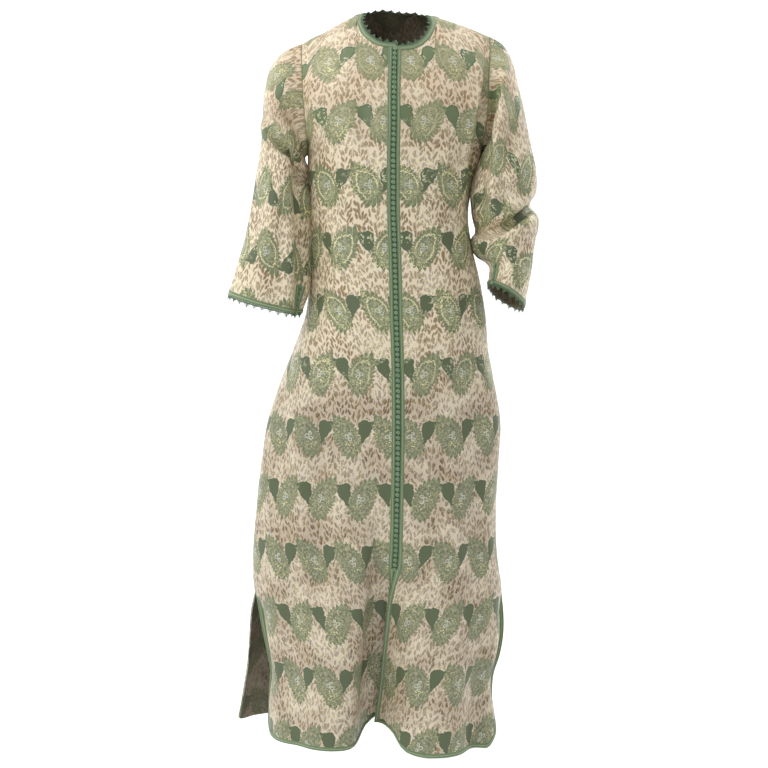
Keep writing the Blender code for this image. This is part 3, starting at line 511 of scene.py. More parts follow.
def round_hem(points, corners, lift=0.0):
    """Raises the hem, most at each rounded corner, and draws the rows above it together."""
    rows = len(points)
    first = rows - 3 - sum(z < CORNER_FROM for z in LOWER_ROWS)
    lengths = lengths_along(points[-1])
    for c in range(len(points[0])):
        raised = lift
        for from_start, rises in corners:
            distance = lengths[c] if from_start else lengths[-1] - lengths[c]
            raised = max(raised, lift + float(np.interp(distance, *zip(*rises))))
        if raised == 0.0:
            continue
        top = points[first][c]
        share = 1 - raised / (top.z - HEM)
        column = [points[r][c].copy() for r in range(rows)]
        for r in range(first + 1, rows):
            # Each row slides up its own column of the cloth.
            target = top.z + (column[r].z - top.z) * share
            k = first
            while k < rows - 2 and column[k + 1].z > target:
                k += 1
            t = (column[k].z - target) / (column[k].z - column[k + 1].z)
            points[r][c] = column[k].lerp(column[k + 1], t)


def arc_shares(line):
    """How far along its own length each point of a line lies."""
    lengths = lengths_along(line)
    return [length / lengths[-1] for length in lengths]


def section_point(table, step, angle):
    """A point of a sleeve's section: angle 0 is its outer end, a quarter turn its front."""
    names = ("outer_x", "outer_z", "inner_x", "inner_z", "front", "back", "lift")
    outer_x, outer_z, inner_x, inner_z, front, back, lift = [table.at(name, step) for name in names]
    share = (1 + math.cos(angle)) / 2
    sine = math.sin(angle)
    y = front * sine if sine > 0 else -back * sine
    middle = (front + back) / 2
    y += middle * (1 - abs(sine)) * ease(step / LEAN_BY)
    x = inner_x + (outer_x - inner_x) * share
    return Vector((x, y, inner_z + (outer_z - inner_z) * share + lift * sine))


def sleeve_grid(table, ring, slit_column, slit_angle):
    """A sleeve from the armhole's ring of points to the cuff, with columns set either side of its slit."""
    count = len(ring)
    half = count // 2
    front_shares = arc_shares(ring[: half + 1])
    back_shares = arc_shares(ring[half:] + ring[:1])
    start_angles = [share * math.pi for share in front_shares[:-1]]
    start_angles += [(1 + share) * math.pi for share in back_shares[:-1]]
    near = CUFF_SLIT_GAP / 2 / CUFF_RADIUS
    far = near + CUFF_SLIT_BRAID / CUFF_RADIUS
    cuff_angles = [0.0] * count
    for c in range(slit_column):
        cuff_angles[c] = (slit_angle - far) * c / (slit_column - 1)
    cuff_angles[slit_column] = slit_angle - near
    cuff_angles[slit_column + 1] = slit_angle + near
    rest = count - slit_column - 2
    for k in range(rest):
        cuff_angles[slit_column + 2 + k] = slit_angle + far + (2 * math.pi - slit_angle - far) * k / rest
    length = (section_point(table, 1, 0) - section_point(table, CUFF_FROM, 0)).length / (1 - CUFF_FROM)
    ends = [1 - CUFF_SLIT / length, 1 - 0.5 * (CUFF_SLIT + CUFF_BRAID) / length, 1 - CUFF_BRAID / length]
    ends.append(1.0)
    steps = [step for step in SLEEVE_ROWS if step < ends[0] - 0.02] + ends
    points = [ring]
    for step in steps:
        blend = ease(step / SLEEVE_BLEND)
        turn = ease(step / ends[0])
        line = []
        for c in range(count):
            angle = start_angles[c] + (cuff_angles[c] - start_angles[c]) * turn
            section = section_point(table, step, angle)
            first = section_point(table, step * 0.5, start_angles[c])
            line.append((ring[c] + (first - section_point(table, 0, start_angles[c]))).lerp(section, blend))
        points.append(line)
    return points


print("columns across a front:", 3 + len(FRONT_COLUMNS) + 2)

# %% [markdown]
# ## Finer sheets
# The pattern pieces above are coarse nets of points. A cubic curve through the points of each
# column, then of each row, gives a smooth sheet that still passes through every one of them. A
# subdivision surface would round the form too, but it would also shrink it off the frame.

# %% Finer sheets
STEP = 0.0068  # distance between the points of a fine sheet
UPPER_STEPS = [3] + [7] * (UPPER_ROWS - 1)
LOWER_STEPS = [max(3, round((a - b) / STEP)) for a, b in zip(LOWER_HEIGHTS, LOWER_HEIGHTS[1:])]
ROW_STEPS = UPPER_STEPS + LOWER_STEPS
SHOULDER_STEPS = [5, 6, 6, 6, 5, 3]
FOLDS_FROM, DRIFT_FROM, FOLDS_GROW_OVER = -0.35, -0.45, 0.25  # heights
CHEST_TAKES = 0.13  # how much less of the repeat shows across the chest than across the skirt
FRONT_STEPS = [2, 3, 4, 4, 4, 5] + SHOULDER_STEPS
BACK_STEPS = SHOULDER_STEPS[::-1] + [6] * 6 + SHOULDER_STEPS


def finer(points, steps):
    """Points along the first axis, with a cubic curve of that many steps in each interval."""
    gaps = np.diff(points, axis=0)
    lengths = np.linalg.norm(gaps, axis=2, keepdims=True) + 1e-9
    ways = gaps / lengths
    slopes = np.empty_like(points)
    slopes[0], slopes[-1] = ways[0], ways[-1]
    share = lengths[1:] / (lengths[1:] + lengths[:-1])
    slopes[1:-1] = ways[:-1] * share + ways[1:] * (1 - share)
    found = [points[:1]]
    for k, count in enumerate(steps):
        t = np.linspace(0, 1, count + 1)[1:, None, None]
        found.append(points[k] + cubic(t, slopes[k] * lengths[k], slopes[k + 1] * lengths[k], gaps[k]))
    return np.concatenate(found)


def unit(vectors):
    return vectors / (np.linalg.norm(vectors, axis=-1, keepdims=True) + 1e-12)


class Sheet:
    """A fine sheet: its points, the way out at each, and its flat-cloth coordinates."""

    def __init__(self, coarse, row_steps, column_steps, closed=False, turned=False):
        points = np.array([[tuple(p) for p in row] for row in coarse])
        if closed:
            points = np.concatenate([points, points[:, :1]], axis=1)
        rows = finer(points, row_steps)
        if closed:
            wrap = np.concatenate([rows[:, -3:-1], rows, rows[:, 1:3]], axis=1).swapaxes(0, 1)
            wide = finer(wrap, [2, 2] + column_steps + [2, 2]).swapaxes(0, 1)
            self.points = wide[:, 4:-4]
        else:
            self.points = finer(rows.swapaxes(0, 1), column_steps).swapaxes(0, 1)
        self.row_at, self.column_at = [0, *accumulate(row_steps)], [0, *accumulate(column_steps)]
        self.wide = self.points.shape[1] - 1
        self.closed, self.sign = closed, -1 if turned else 1
        self.out = self.ways_out()

    def ways_out(self):
        down = np.gradient(self.points, axis=0)
        if self.closed:
            round_it = np.concatenate([self.points[:, -2:-1], self.points, self.points[:, 1:2]], axis=1)
            sideways = (round_it[:, 2:] - round_it[:, :-2]) / 2
        else:
            sideways = np.gradient(self.points, axis=1)
        return unit(np.cross(down, sideways)) * self.sign

    def measure(self, zero_row, zero_column, place):
        """Flat-cloth coordinates: across from a column and up from a row, then set to the repeat."""
        # A panel keeps its grain level and upright where its rows and columns slant.
        across, down = ([0, 1, 2], [0, 1, 2]) if self.closed else ([0, 1], [1, 2])
        u = np.linalg.norm(np.diff(self.points[..., across], axis=1), axis=2).cumsum(axis=1)
        u = np.concatenate([np.zeros((len(u), 1)), u], axis=1)
        v = np.linalg.norm(np.diff(self.points[..., down], axis=0), axis=2).cumsum(axis=0)
        v = np.concatenate([np.zeros((1, v.shape[1])), v], axis=0)
        self.size = float(np.ptp(u, axis=1).max()), float(np.ptp(v, axis=0).max())
        right, up, across_by, up_by, drift = place
        # Small folds below the waist take up cloth, and so the repeat runs past a little faster.
        low = np.clip((FOLDS_FROM - self.points[..., 2]) / FOLDS_GROW_OVER, 0, 1)
        lower = np.clip((DRIFT_FROM - self.points[..., 2]) / FOLDS_GROW_OVER, 0, 1)
        taken = 1.0 if self.closed else 1 - CHEST_TAKES * (1 - low)
        u = ((u - u[:, zero_column : zero_column + 1]) * taken + drift * lower) * right + across_by
        self.uv = np.stack([u, (v[zero_row] - v) * up + up_by], axis=2)


print("rows", sum(ROW_STEPS) + 1, "columns", sum(FRONT_STEPS) + 1, sum(BACK_STEPS) + 1)

# %% [markdown]
# ## Cutting the pieces
# Two fronts, a back and two sleeves, each as its own sheet. The fronts and the back share the
# points of their seams, and each sleeve starts from the ring of points round its armhole.

# %% Cutting the pieces
coarse = {}
for side, corners in (("right", RIGHT_CORNERS), ("left", LEFT_CORNERS)):
    coarse["front_" + side] = front_grid(side)
    round_hem(coarse["front_" + side], corners, HEM_LIFTS[side])
coarse["back"] = back_grid()
round_hem(coarse["back"], BACK_CORNERS)
SIDE = len(FRONT_STEPS)
MIDDLE = len(BACK_STEPS) // 2
NECK_POINT = 3 + [start for start, _ in FRONT_COLUMNS].index(NECK_HALF_WIDTH)
BACK_NECK = [start for start, _ in BACK_COLUMNS].index(NECK_HALF_WIDTH)
SLIT_ROW = UPPER_ROWS + 1 + LOWER_ROWS.index(SLIT_TOP)
PLACKET_ROW = UPPER_ROWS + 1 + LOWER_ROWS.index(PLACKET_END)

sheets = {}
for side in SIGNS:
    sheets["front_" + side] = Sheet(coarse["front_" + side], ROW_STEPS, FRONT_STEPS, turned=side == "right")
sheets["back"] = Sheet(coarse["back"], ROW_STEPS, BACK_STEPS, turned=True)
for side, (table, slit_column, slit_angle) in SLEEVES.items():
    front, back_side = coarse["front_" + side], MIDDLE + SIGNS[side] * MIDDLE
    ring = [front[r][SIDE] for r in range(UPPER_ROWS + 1)]
    ring += [coarse["back"][r][back_side] for r in range(UPPER_ROWS - 1, 0, -1)]
    net = sleeve_grid(table, ring, slit_column, slit_angle)
    lengths = [(b[0] - a[0]).length + (b[UPPER_ROWS] - a[UPPER_ROWS]).length for a, b in zip(net, net[1:])]
    steps = [max(3, round(length / 2 / STEP)) for length in lengths]
    around = UPPER_STEPS + UPPER_STEPS[::-1]
    sheets["sleeve_" + side] = Sheet(net, steps, around, closed=True, turned=side == "left")
for name, sheet in sheets.items():
    print(name, sheet.points.shape[:2])

# %% [markdown]
# ## Creases
# Brocade is stiff, so it hangs in broad soft waves with a few sharper creases: at the elbow, under
# the arms and where the skirt falls in on itself. The waves are smooth noise stretched along the
# body. Each crease is a row of a table: its path seen from the front, its width and its depth. A
# cloth simulation would make creases too, but not in chosen places.

# %% Creases
# piece, side it lies on, width, depth (a ridge has a minus), and the path as x and z, in millimetres
CREASES = """
    sleeve_right front 9 20 -256 -165 -214 -235 -191 -269 -160 -320
    sleeve_right inner 30 -10 -176 -230 -172 -330 -170 -480 -172 -580
    sleeve_left inner 30 -9 178 -220 170 -300 160 -360
    sleeve_right front 12 22 -190 -240 -181 -340 -178 -440 -184 -580
    sleeve_right front 13 5 -236 -128 -206 -168 -186 -215
    sleeve_right front 12 6 -190 -280 -200 -350 -204 -430
    sleeve_right front 18 4 -262 -260 -268 -380 -290 -480
    sleeve_right front 16 -3.5 -230 -300 -242 -400 -262 -520
    sleeve_right back 14 6 -250 -190 -222 -230 -192 -262
    sleeve_right back 16 4.5 -246 -300 -225 -360 -196 -400
    sleeve_left inner 18 -8 154 -390 150 -430 160 -465
    sleeve_left front 8 15 262 -350 205 -393 160 -416
    sleeve_left front 12 -7 198 -80 194 -180 186 -290 176 -360
    sleeve_left front 10 14 184 -100 176 -190 166 -300 158 -400
    sleeve_left front 12 6 248 -300 208 -342 166 -352
    sleeve_left front 12 5.5 228 -190 204 -250 172 -288
    sleeve_left front 14 -4 236 -262 205 -312 176 -330
    sleeve_left front 12 4.5 252 -420 226 -450 190 -470
    sleeve_left back 12 7 262 -340 216 -372 162 -392
    sleeve_left back 14 5 240 -250 206 -290 170 -300
    front_right front 16 5.5 -168 -235 -128 -300 -112 -400
    front_right front 18 4.5 -150 -330 -148 -450 -160 -600
    front_right front 22 5.5 -200 -620 -214 -800 -216 -980
    front_right front 20 -5 -170 -600 -186 -800 -190 -1020
    front_right front 22 5 -126 -760 -140 -940 -150 -1200
    front_right front 20 6 -200 -1060 -206 -1200 -196 -1370
    front_right front 16 4 -72 -160 -58 -225 -44 -260
    front_left front 16 5.5 156 -238 112 -290 86 -372
    front_left front 8 18 178 -70 170 -130 157 -214 136 -350
    front_right front 15 17 -30 -940 -37 -1060 -48 -1200 -60 -1390
    front_left front 14 4.5 128 -350 96 -380 60 -372
    front_left front 18 4.5 118 -430 130 -560 126 -720
    front_left front 20 5.5 150 -720 148 -900 140 -1120
    front_left front 22 4.5 70 -860 66 -1040 62 -1260
    front_left front 18 6 166 -1120 160 -1240 152 -1385
    front_left front 20 -5 106 -1080 108 -1240 106 -1385
    back back 18 5.5 -160 -240 -110 -300 -80 -380
    back back 18 5.5 152 -244 106 -310 84 -400
    back back 22 6.5 -66 -480 -80 -760 -120 -1200
    back back 20 6 10 -470 0 -720 -20 -1180
    back back 22 6.5 60 -520 66 -820 62 -1300
    back back 20 5.5 130 -640 150 -900 156 -1300
    back back 20 5 -170 -640 -210 -900 -220 -1250
"""
SLIT_OPENS_OVER = 5  # rows
EDGE_WIDTH, EDGE_FORWARD = 0.016, 0.018
EDGE_DRAWN_AT, EDGE_INWARD = 0.018, 0.012
EDGE_STRAIGHT_AT, EDGE_STRAIGHTENS_OVER = -1.315, 0.10  # and it is as the frame has it at the hem
WAVE = 0.0030  # how far the broad waves lift or sink the cloth
RIPPLE = 0.0009
LEAST_WAVE = 0.35  # at the shoulders, as a share of the waves at WAVES_FULL_AT
WAVES_FULL_AT = -1.2
BANK_HEIGHT, BANK_AT = 0.35, 1.9  # as shares of a crease's depth and width
CREASE_ENDS = 0.02  # a crease keeps a little of its depth at its very ends
# Rows and columns beside a seam or an edge take part of each wave and crease.
TO_SEAM, FROM_FRONT_EDGE = [0.8, 0.5, 0.3], [0.2, 0.2, 0.2, 0.6]
FROM_BACK_EDGE, FROM_ARMHOLE = [0.3, 0.5, 0.8, 1.0], [0.3, 0.5, 0.8]


def crease_lift(points, path, width, depth):
    """How far one crease lifts each point: a trough with a low bank on either side, fading at its ends."""
    spot = points[..., [0, 2]]
    path = np.array(path)
    whole = np.linalg.norm(np.diff(path, axis=0), axis=1).sum()
    best = np.full(spot.shape[:2], 9.0)
    share = np.zeros(spot.shape[:2])
    gone = 0.0
    for a, b in zip(path, path[1:]):
        length = np.linalg.norm(b - a)
        t = np.clip(((spot - a) @ (b - a)) / length**2, 0, 1)
        distance = np.linalg.norm(spot - a - t[..., None] * (b - a), axis=2)
        nearer = distance < best
        best = np.where(nearer, distance, best)
        share = np.where(nearer, (gone + t * length) / whole, share)
        gone += length
    fade = np.sin(np.pi * np.clip(share, CREASE_ENDS, 1 - CREASE_ENDS)) ** 0.6
    trough = np.exp(-((best / width) ** 2))
    bank = BANK_HEIGHT * np.exp(-(((best - BANK_AT * width) / width) ** 2))
    return depth * fade * (bank - trough)


def waves(points):
    """Broad waves that grow towards the hem, and finer ripples everywhere."""
    flat = points.reshape(-1, 3)
    found = np.empty(len(flat))
    for k, (x, y, z) in enumerate(flat):
        growth = LEAST_WAVE + (1 - LEAST_WAVE) * min(max(z / WAVES_FULL_AT, 0.0), 1.0)
        broad = noise.noise((x * 13, y * 13, z * 3.4 + 4.0))
        fine = noise.noise((x * 34, y * 34 + 7.0, z * 16))
        found[k] = WAVE * growth * broad + RIPPLE * fine
    return found.reshape(points.shape[:2])


creases = {name: [] for name in sheets}
for row in CREASES.strip().splitlines():
    name, face, *numbers = row.split()
    width, depth, *path = [float(number) / 1000 for number in numbers]
    creases[name].append((face, width, depth, list(zip(path[::2], path[1::2]))))
for name, sheet in sheets.items():
    lift = waves(sheet.points)
    for face, width, depth, path in creases[name]:
        inward = -sheet.out[..., 0] * np.sign(sheet.points[..., 0])
        facing = {"front": -sheet.out[..., 1], "back": sheet.out[..., 1], "inner": inward}[face]
        lift += crease_lift(sheet.points, path, width, depth) * np.clip(facing * 3, 0, 1)
    if not sheet.closed:
        # Seams and edges stay where the frame has them.
        lift[:, -3:] *= TO_SEAM
        lift[:, :4] *= FROM_BACK_EDGE if name == "back" else FROM_FRONT_EDGE
    else:
        lift[:3] *= np.array(FROM_ARMHOLE)[:, None]
    sheet.points = sheet.points + sheet.out * lift[..., None]
    if name.startswith("front"):
        # Beside a side slit the cloth turns forward and in a little, so that its braid faces ahead.
        below = np.arange(len(sheet.points)) - sheet.row_at[SLIT_ROW]
        from_edge = np.linalg.norm(sheet.points - sheet.points[:, -1:], axis=2)
        opened = np.clip(below / SLIT_OPENS_OVER, 0, 1)[:, None]
        opened = opened * np.clip((sheet.points[..., 2] - EDGE_STRAIGHT_AT) / EDGE_STRAIGHTENS_OVER, 0, 1)
        sheet.points[..., 1] -= EDGE_FORWARD * opened * np.exp(-from_edge / EDGE_WIDTH)
        drawn = from_edge / EDGE_DRAWN_AT
        side_sign = np.sign(sheet.points[..., 0])
        sheet.points[..., 0] -= side_sign * EDGE_INWARD * opened * drawn * np.exp(1 - drawn)
    sheet.out = sheet.ways_out()
print("creases:", sum(len(rows) for rows in creases.values()))

# %% [markdown]
# ## Sewing the pieces together
# Along a seam both pieces take the same points and the same way out, so no gap opens between
# them. The seam is then drawn in a little, as a sewn seam is.

# %% Sewing the pieces together
SEAM_DEPTH = 0.0011
# How each piece is laid on the woven cloth: the way the repeat runs across and up, where it starts,
# and how much more cloth the skirt's folds take up.
PATTERN_PLACES = {
    "front_right": (-1, 1, 0.0275, 0.0059, 0.024),
    "front_left": (1, 1, -0.0375, 0.0059, 0.0),
    "back": (-1, 1, 0.0, 0.0059, 0.0),
    "sleeve_right": (-1, -1, 0.0, 0.041, 0.0),
    "sleeve_left": (-1, 1, 0.0, 0.0, 0.0),
}


def sew_edges(sheet_a, places_a, sheet_b, places_b, depth=SEAM_DEPTH):
    for (ra, ca), (rb, cb) in zip(places_a, places_b):
        out = unit(sheet_a.out[ra, ca] + sheet_b.out[rb, cb])
        point = (sheet_a.points[ra, ca] + sheet_b.points[rb, cb]) / 2 - out * depth
        sheet_a.points[ra, ca] = sheet_b.points[rb, cb] = point
        sheet_a.out[ra, ca] = sheet_b.out[rb, cb] = out


back = sheets["back"]
rows_at, under = back.row_at, back.row_at[UPPER_ROWS]
for side, sign in SIGNS.items():
    front, sleeve = sheets["front_" + side], sheets["sleeve_" + side]
    back_side, front_side = 0 if sign < 0 else back.wide, front.wide
    seam_rows = range(under, rows_at[SLIT_ROW] + 1)
    sew_edges(front, [(r, front_side) for r in seam_rows], back, [(r, back_side) for r in seam_rows])
    reach = front_side - front.column_at[NECK_POINT]
    shoulder = [(0, front_side - k) for k in range(reach + 1)]
    over = [(0, back_side - sign * k) for k in range(reach + 1)]
    sew_edges(front, shoulder, back, over)
    ring = [(front, r, front_side) for r in range(under + 1)]
    ring += [(back, r, back_side) for r in range(under - 1, 0, -1)]
    for c, (panel, r, column) in enumerate(ring):
        point = (panel.points[r, column] + sleeve.points[0, c]) / 2 - panel.out[r, column] * SEAM_DEPTH
        panel.points[r, column] = sleeve.points[0, c] = point
    sleeve.points[0, -1] = sleeve.points[0, 0]
right, left = sheets["front_right"], sheets["front_left"]
meeting = [(r, 0) for r in range(rows_at[PLACKET_ROW] + 1)]
sew_edges(right, meeting, left, meeting, depth=0.0)
for name, sheet in sheets.items():
    across_from = back.wide // 2 if name == "back" else 0
    up_from = sheet.row_at[-1] if sheet.closed else under
    sheet.measure(up_from, across_from, PATTERN_PLACES[name])
print("skirt width at the hem, flat:", round(float(back.uv[-1, -1, 0] - back.uv[-1, 0, 0]), 3))

# %% [markdown]
# ## Cloth shells
# Each sheet becomes a thin closed shell: the face of the cloth outside, its reverse inside and a
# rim between them. The flat-cloth coordinates go into a UV map in metres, so a woven pattern keeps
# its size and follows the grain. A Solidify modifier could add the thickness, but not this UV map.

# %% Cloth shells
kaftan = bpy.data.collections.new("moroccan_kaftan")
studio = bpy.context.scene.collection
studio.children.link(kaftan)


def placed(name, data, collection=kaftan):
    made = bpy.data.objects.new(name, data)
    collection.objects.link(made)
    return made


def linked(name, mesh, materials):
    for material in materials:
        mesh.materials.append(material)
    return placed(name, mesh)


def mesh_of(name, points, faces, uv):
    """A mesh whose UV map has a place for each corner of its faces."""
    mesh = bpy.data.meshes.new(name)
    mesh.from_pydata(np.reshape(points, (-1, 3)).tolist(), [], faces)
    mesh.uv_layers.new(name="cloth").uv.foreach_set("vector", np.array(uv, np.float32).ravel())
    return mesh


def shell(name, sheet, kept, materials):
    """A closed shell over the kept cells of a sheet, from its face to its reverse."""
    rows, columns = sheet.points.shape[:2]
    wide = columns - 1 if sheet.closed else columns
    layers = [sheet.points[:, :wide], (sheet.points - sheet.out * CLOTH)[:, :wide]]
    faces, corners, slots = [], [], []

    def face(loop, slot, behind):
        faces.append([layer * rows * wide + r * wide + c % wide for layer, r, c in loop])
        corners.extend((r, c, behind) for _, r, c in loop)
        slots.append(slot)

    for r, c in zip(*np.nonzero(kept)):
        # On a sleeve the repeat meets itself under the arm, where the seam would be.
        behind = int(sheet.closed and c >= (columns - 1) // 2)
        loop = [(r, c), (r + 1, c), (r + 1, c + 1), (r, c + 1)]
        if sheet.sign < 0:
            loop.reverse()
        face([(0, *spot) for spot in loop], 0, behind)
        face([(1, *spot) for spot in reversed(loop)], 1, behind)
        for a, b in zip(loop, loop[1:] + loop[:1]):
            step_r = r + (1 if a[0] == b[0] == r + 1 else -1 if a[0] == b[0] else 0)
            step_c = c + (1 if a[1] == b[1] == c + 1 else -1 if a[1] == b[1] else 0)
            if sheet.closed:
                step_c %= columns - 1
            inside = 0 <= step_r < rows - 1 and 0 <= step_c < columns - 1
            if not inside or not kept[step_r, step_c]:
                face([(0, *b), (0, *a), (1, *a), (1, *b)], 0, behind)
    r, c, behind = np.array(corners).T
    flat = sheet.uv[r, c]
    flat[:, 0] -= behind * (sheet.uv[r, -1, 0] - sheet.uv[r, 0, 0])  # once round the sleeve
    mesh = mesh_of(name, np.concatenate(layers), faces, flat)
    mesh.polygons.foreach_set("material_index", slots)
    used = bmesh.new()
    used.from_mesh(mesh)
    bmesh.ops.delete(used, geom=[v for v in used.verts if not v.link_faces], context="VERTS")
    used.to_mesh(mesh)
    used.free()
    mesh.shade_smooth()
    mesh.set_sharp_from_angle(angle=math.radians(50))
    return linked(name, mesh, materials)


print("cloth is", CLOTH * 1000, "mm thick")

# %% [markdown]
# ## Materials
# One function turns a hex colour into Blender's linear colour, and one adds a node with its
# settings and links. Every material and node group below is built with them.

# %% Node helpers
def colour(code):
    channels = [int(code[k : k + 2], 16) / 255 for k in (0, 2, 4)]
    return (*[c / 12.92 if c <= 0.04045 else ((c + 0.055) / 1.055) ** 2.4 for c in channels], 1.0)


def add(tree, kind, links=(), **settings):
    """One node. Its kind may be followed by its operation, and is a shader's unless it says another."""
    kind, *operation = kind.split()
    made = tree.nodes.new(kind if "Node" in kind else "ShaderNode" + kind)
    if operation:
        made.operation = operation[0]
    for name, value in settings.items():
        setattr(made, name, value)
    feed(tree, made, links)
    return made


def feed(tree, made, links):
    """Fills a node's inputs, by place or by name, with a node, a socket or a value."""
    for key, source in links.items() if isinstance(links, dict) else enumerate(links):
        if isinstance(source, bpy.types.Node):
            source = source.outputs[0]
        if isinstance(source, bpy.types.NodeSocket):
            tree.links.new(source, made.inputs[key])
        elif source is not None:
            made.inputs[key].default_value = source


def new_material(name):
    made = bpy.data.materials.new(name)
    made.use_nodes = True
    tree = made.node_tree
    return made, tree, tree.nodes["Principled BSDF"]


print("sage:", [round(c, 3) for c in colour("8a9a74")])

# %% [markdown]
# ## Brocade
# The cloth is a satin ground with a supplementary weft: it is woven, not printed. The repeat is
# 77 mm wide and 117 mm high, and every second row is turned over. Each outline is a curve of
# radius against angle round its own centre, charted on a Float Curve node. An image could
# hold the same repeat, but curves stay sharp at any distance.

# %% Brocade charts
REPEAT_WIDE = 77.0  # all of these are in millimetres
REPEAT_HIGH = 117.0
REACH = 64.0  # the top of each Float Curve
# angle in degrees, radius in millimetres
PALMETTE = [(-180, 30), (-160, 28), (-130, 27), (-112, 33), (-97, 40), (-77, 43), (-60, 39), (-40, 35)]
PALMETTE += [(-18, 26), (-3, 23), (20, 22), (41, 23), (69, 29), (95, 38), (113, 47), (122, 54), (135, 48)]
PALMETTE += [(155, 35), (180, 30)]
RING = [(-180, 19), (-150, 18), (-120, 19), (-97, 25), (-77, 27), (-55, 24), (-30, 18), (0, 15)]
RING += [(30, 15), (60, 18), (90, 24), (113, 30), (125, 33), (140, 27), (160, 21), (180, 19)]
LEAF = [(-180, 11.5), (-165, 12.5), (-138, 15), (-118, 18), (-103, 32), (-90, 20), (-70, 16), (-45, 14)]
LEAF += [(-20, 13), (0, 14), (20, 17), (34, 23), (47, 16), (65, 14), (90, 15), (110, 15), (130, 15)]
LEAF += [(150, 13.5), (165, 12), (180, 11.5)]
PALMETTE_AT = (-12.5, -4.0)  # from the middle of the repeat
LEAF_AT = (18.5, 14.0)
SMALL_RINGS = [(-15.5, -1.5, 3.2), (-10.0, 4.0, 2.4), (-9.0, -6.0, 2.9)]
PETALS = 24
PETAL_CURVE = 0.045  # petals turned for each millimetre out from the middle
LEVEL = dict(voronoi_dimensions="2D")  # uneven cells that lie in the cloth


def wrapped(tree, place, centre):
    """The distance across from a motif's middle, repeated with the cloth."""
    moved = add(tree, "Math ADD", [place, REPEAT_WIDE / 2 - centre])
    inside = add(tree, "Math FLOORED_MODULO", [moved, REPEAT_WIDE])
    return add(tree, "Math SUBTRACT", [inside, REPEAT_WIDE / 2])


def polar(tree, x, y, centre):
    """(distance, angle from 0 to 1) round a centre."""
    dx = wrapped(tree, x, centre[0])
    dy = add(tree, "Math SUBTRACT", [y, centre[1]])
    around = add(tree, "Math ARCTAN2", [dy, dx])
    turn = add(tree, "MapRange", [around, -math.pi, math.pi, 0.0, 1.0])
    flat = add(tree, "CombineXYZ", [dx, dy, 0.0])
    return add(tree, "VectorMath LENGTH", [flat]).outputs["Value"], turn


def outline(tree, turn, chart):
    """The radius of a charted outline at each angle."""
    curve = add(tree, "FloatCurve", {1: turn})
    line = curve.mapping.curves[0]
    places = [((angle + 180) / 360, radius / REACH) for angle, radius in chart]
    line.points[0].location, line.points[1].location = places[0], places[-1]
    for x, y in places[1:-1]:
        line.points.new(x, y).handle_type = "VECTOR"
    curve.mapping.update()
    return add(tree, "Math MULTIPLY", [curve, REACH])


def step(tree, value, edge, soft, low=0.0, high=1.0):
    """0 below an edge and 1 above it, with a soft change between them."""
    low_edge = add(tree, "Math SUBTRACT", [edge, soft])
    high_edge = add(tree, "Math ADD", [edge, soft])
    return add(tree, "MapRange", [value, low_edge, high_edge, low, high])


def within(tree, value, edge, soft):
    """1 below an edge and 0 above it."""
    return step(tree, value, edge, soft, 1.0, 0.0)


def between(tree, first, second):
    return add(tree, "Math ABSOLUTE", [add(tree, "Math SUBTRACT", [first, second])])


def rest(tree, mask):
    """What a mask leaves out."""
    return add(tree, "Math SUBTRACT", [1.0, mask])


def both(tree, *masks):
    """Masks multiplied together."""
    found = masks[0]
    for mask in masks[1:]:
        found = add(tree, "Math MULTIPLY", [found, mask])
    return found


def mixed(tree, share, first, second):
    return add(tree, "Mix", {0: share, 6: first, 7: second}, data_type="RGBA").outputs[2]


def coated(tree, base, *coats):
    """Colours laid over a first one in turn, each as strongly as its masks multiplied together."""
    for code, *masks in coats:
        base = mixed(tree, both(tree, *masks), base, colour(code))
    return base


print("petals on a palmette:", PETALS)

# %% [markdown]
# ## The repeat's masks
# A mask is 1 where a figure is woven and 0 elsewhere. They come first, because the colours, the
# shine and the relief of the cloth all follow them. A little noise moves the place that is looked
# up, so that the edges are as uneven as a woven edge.

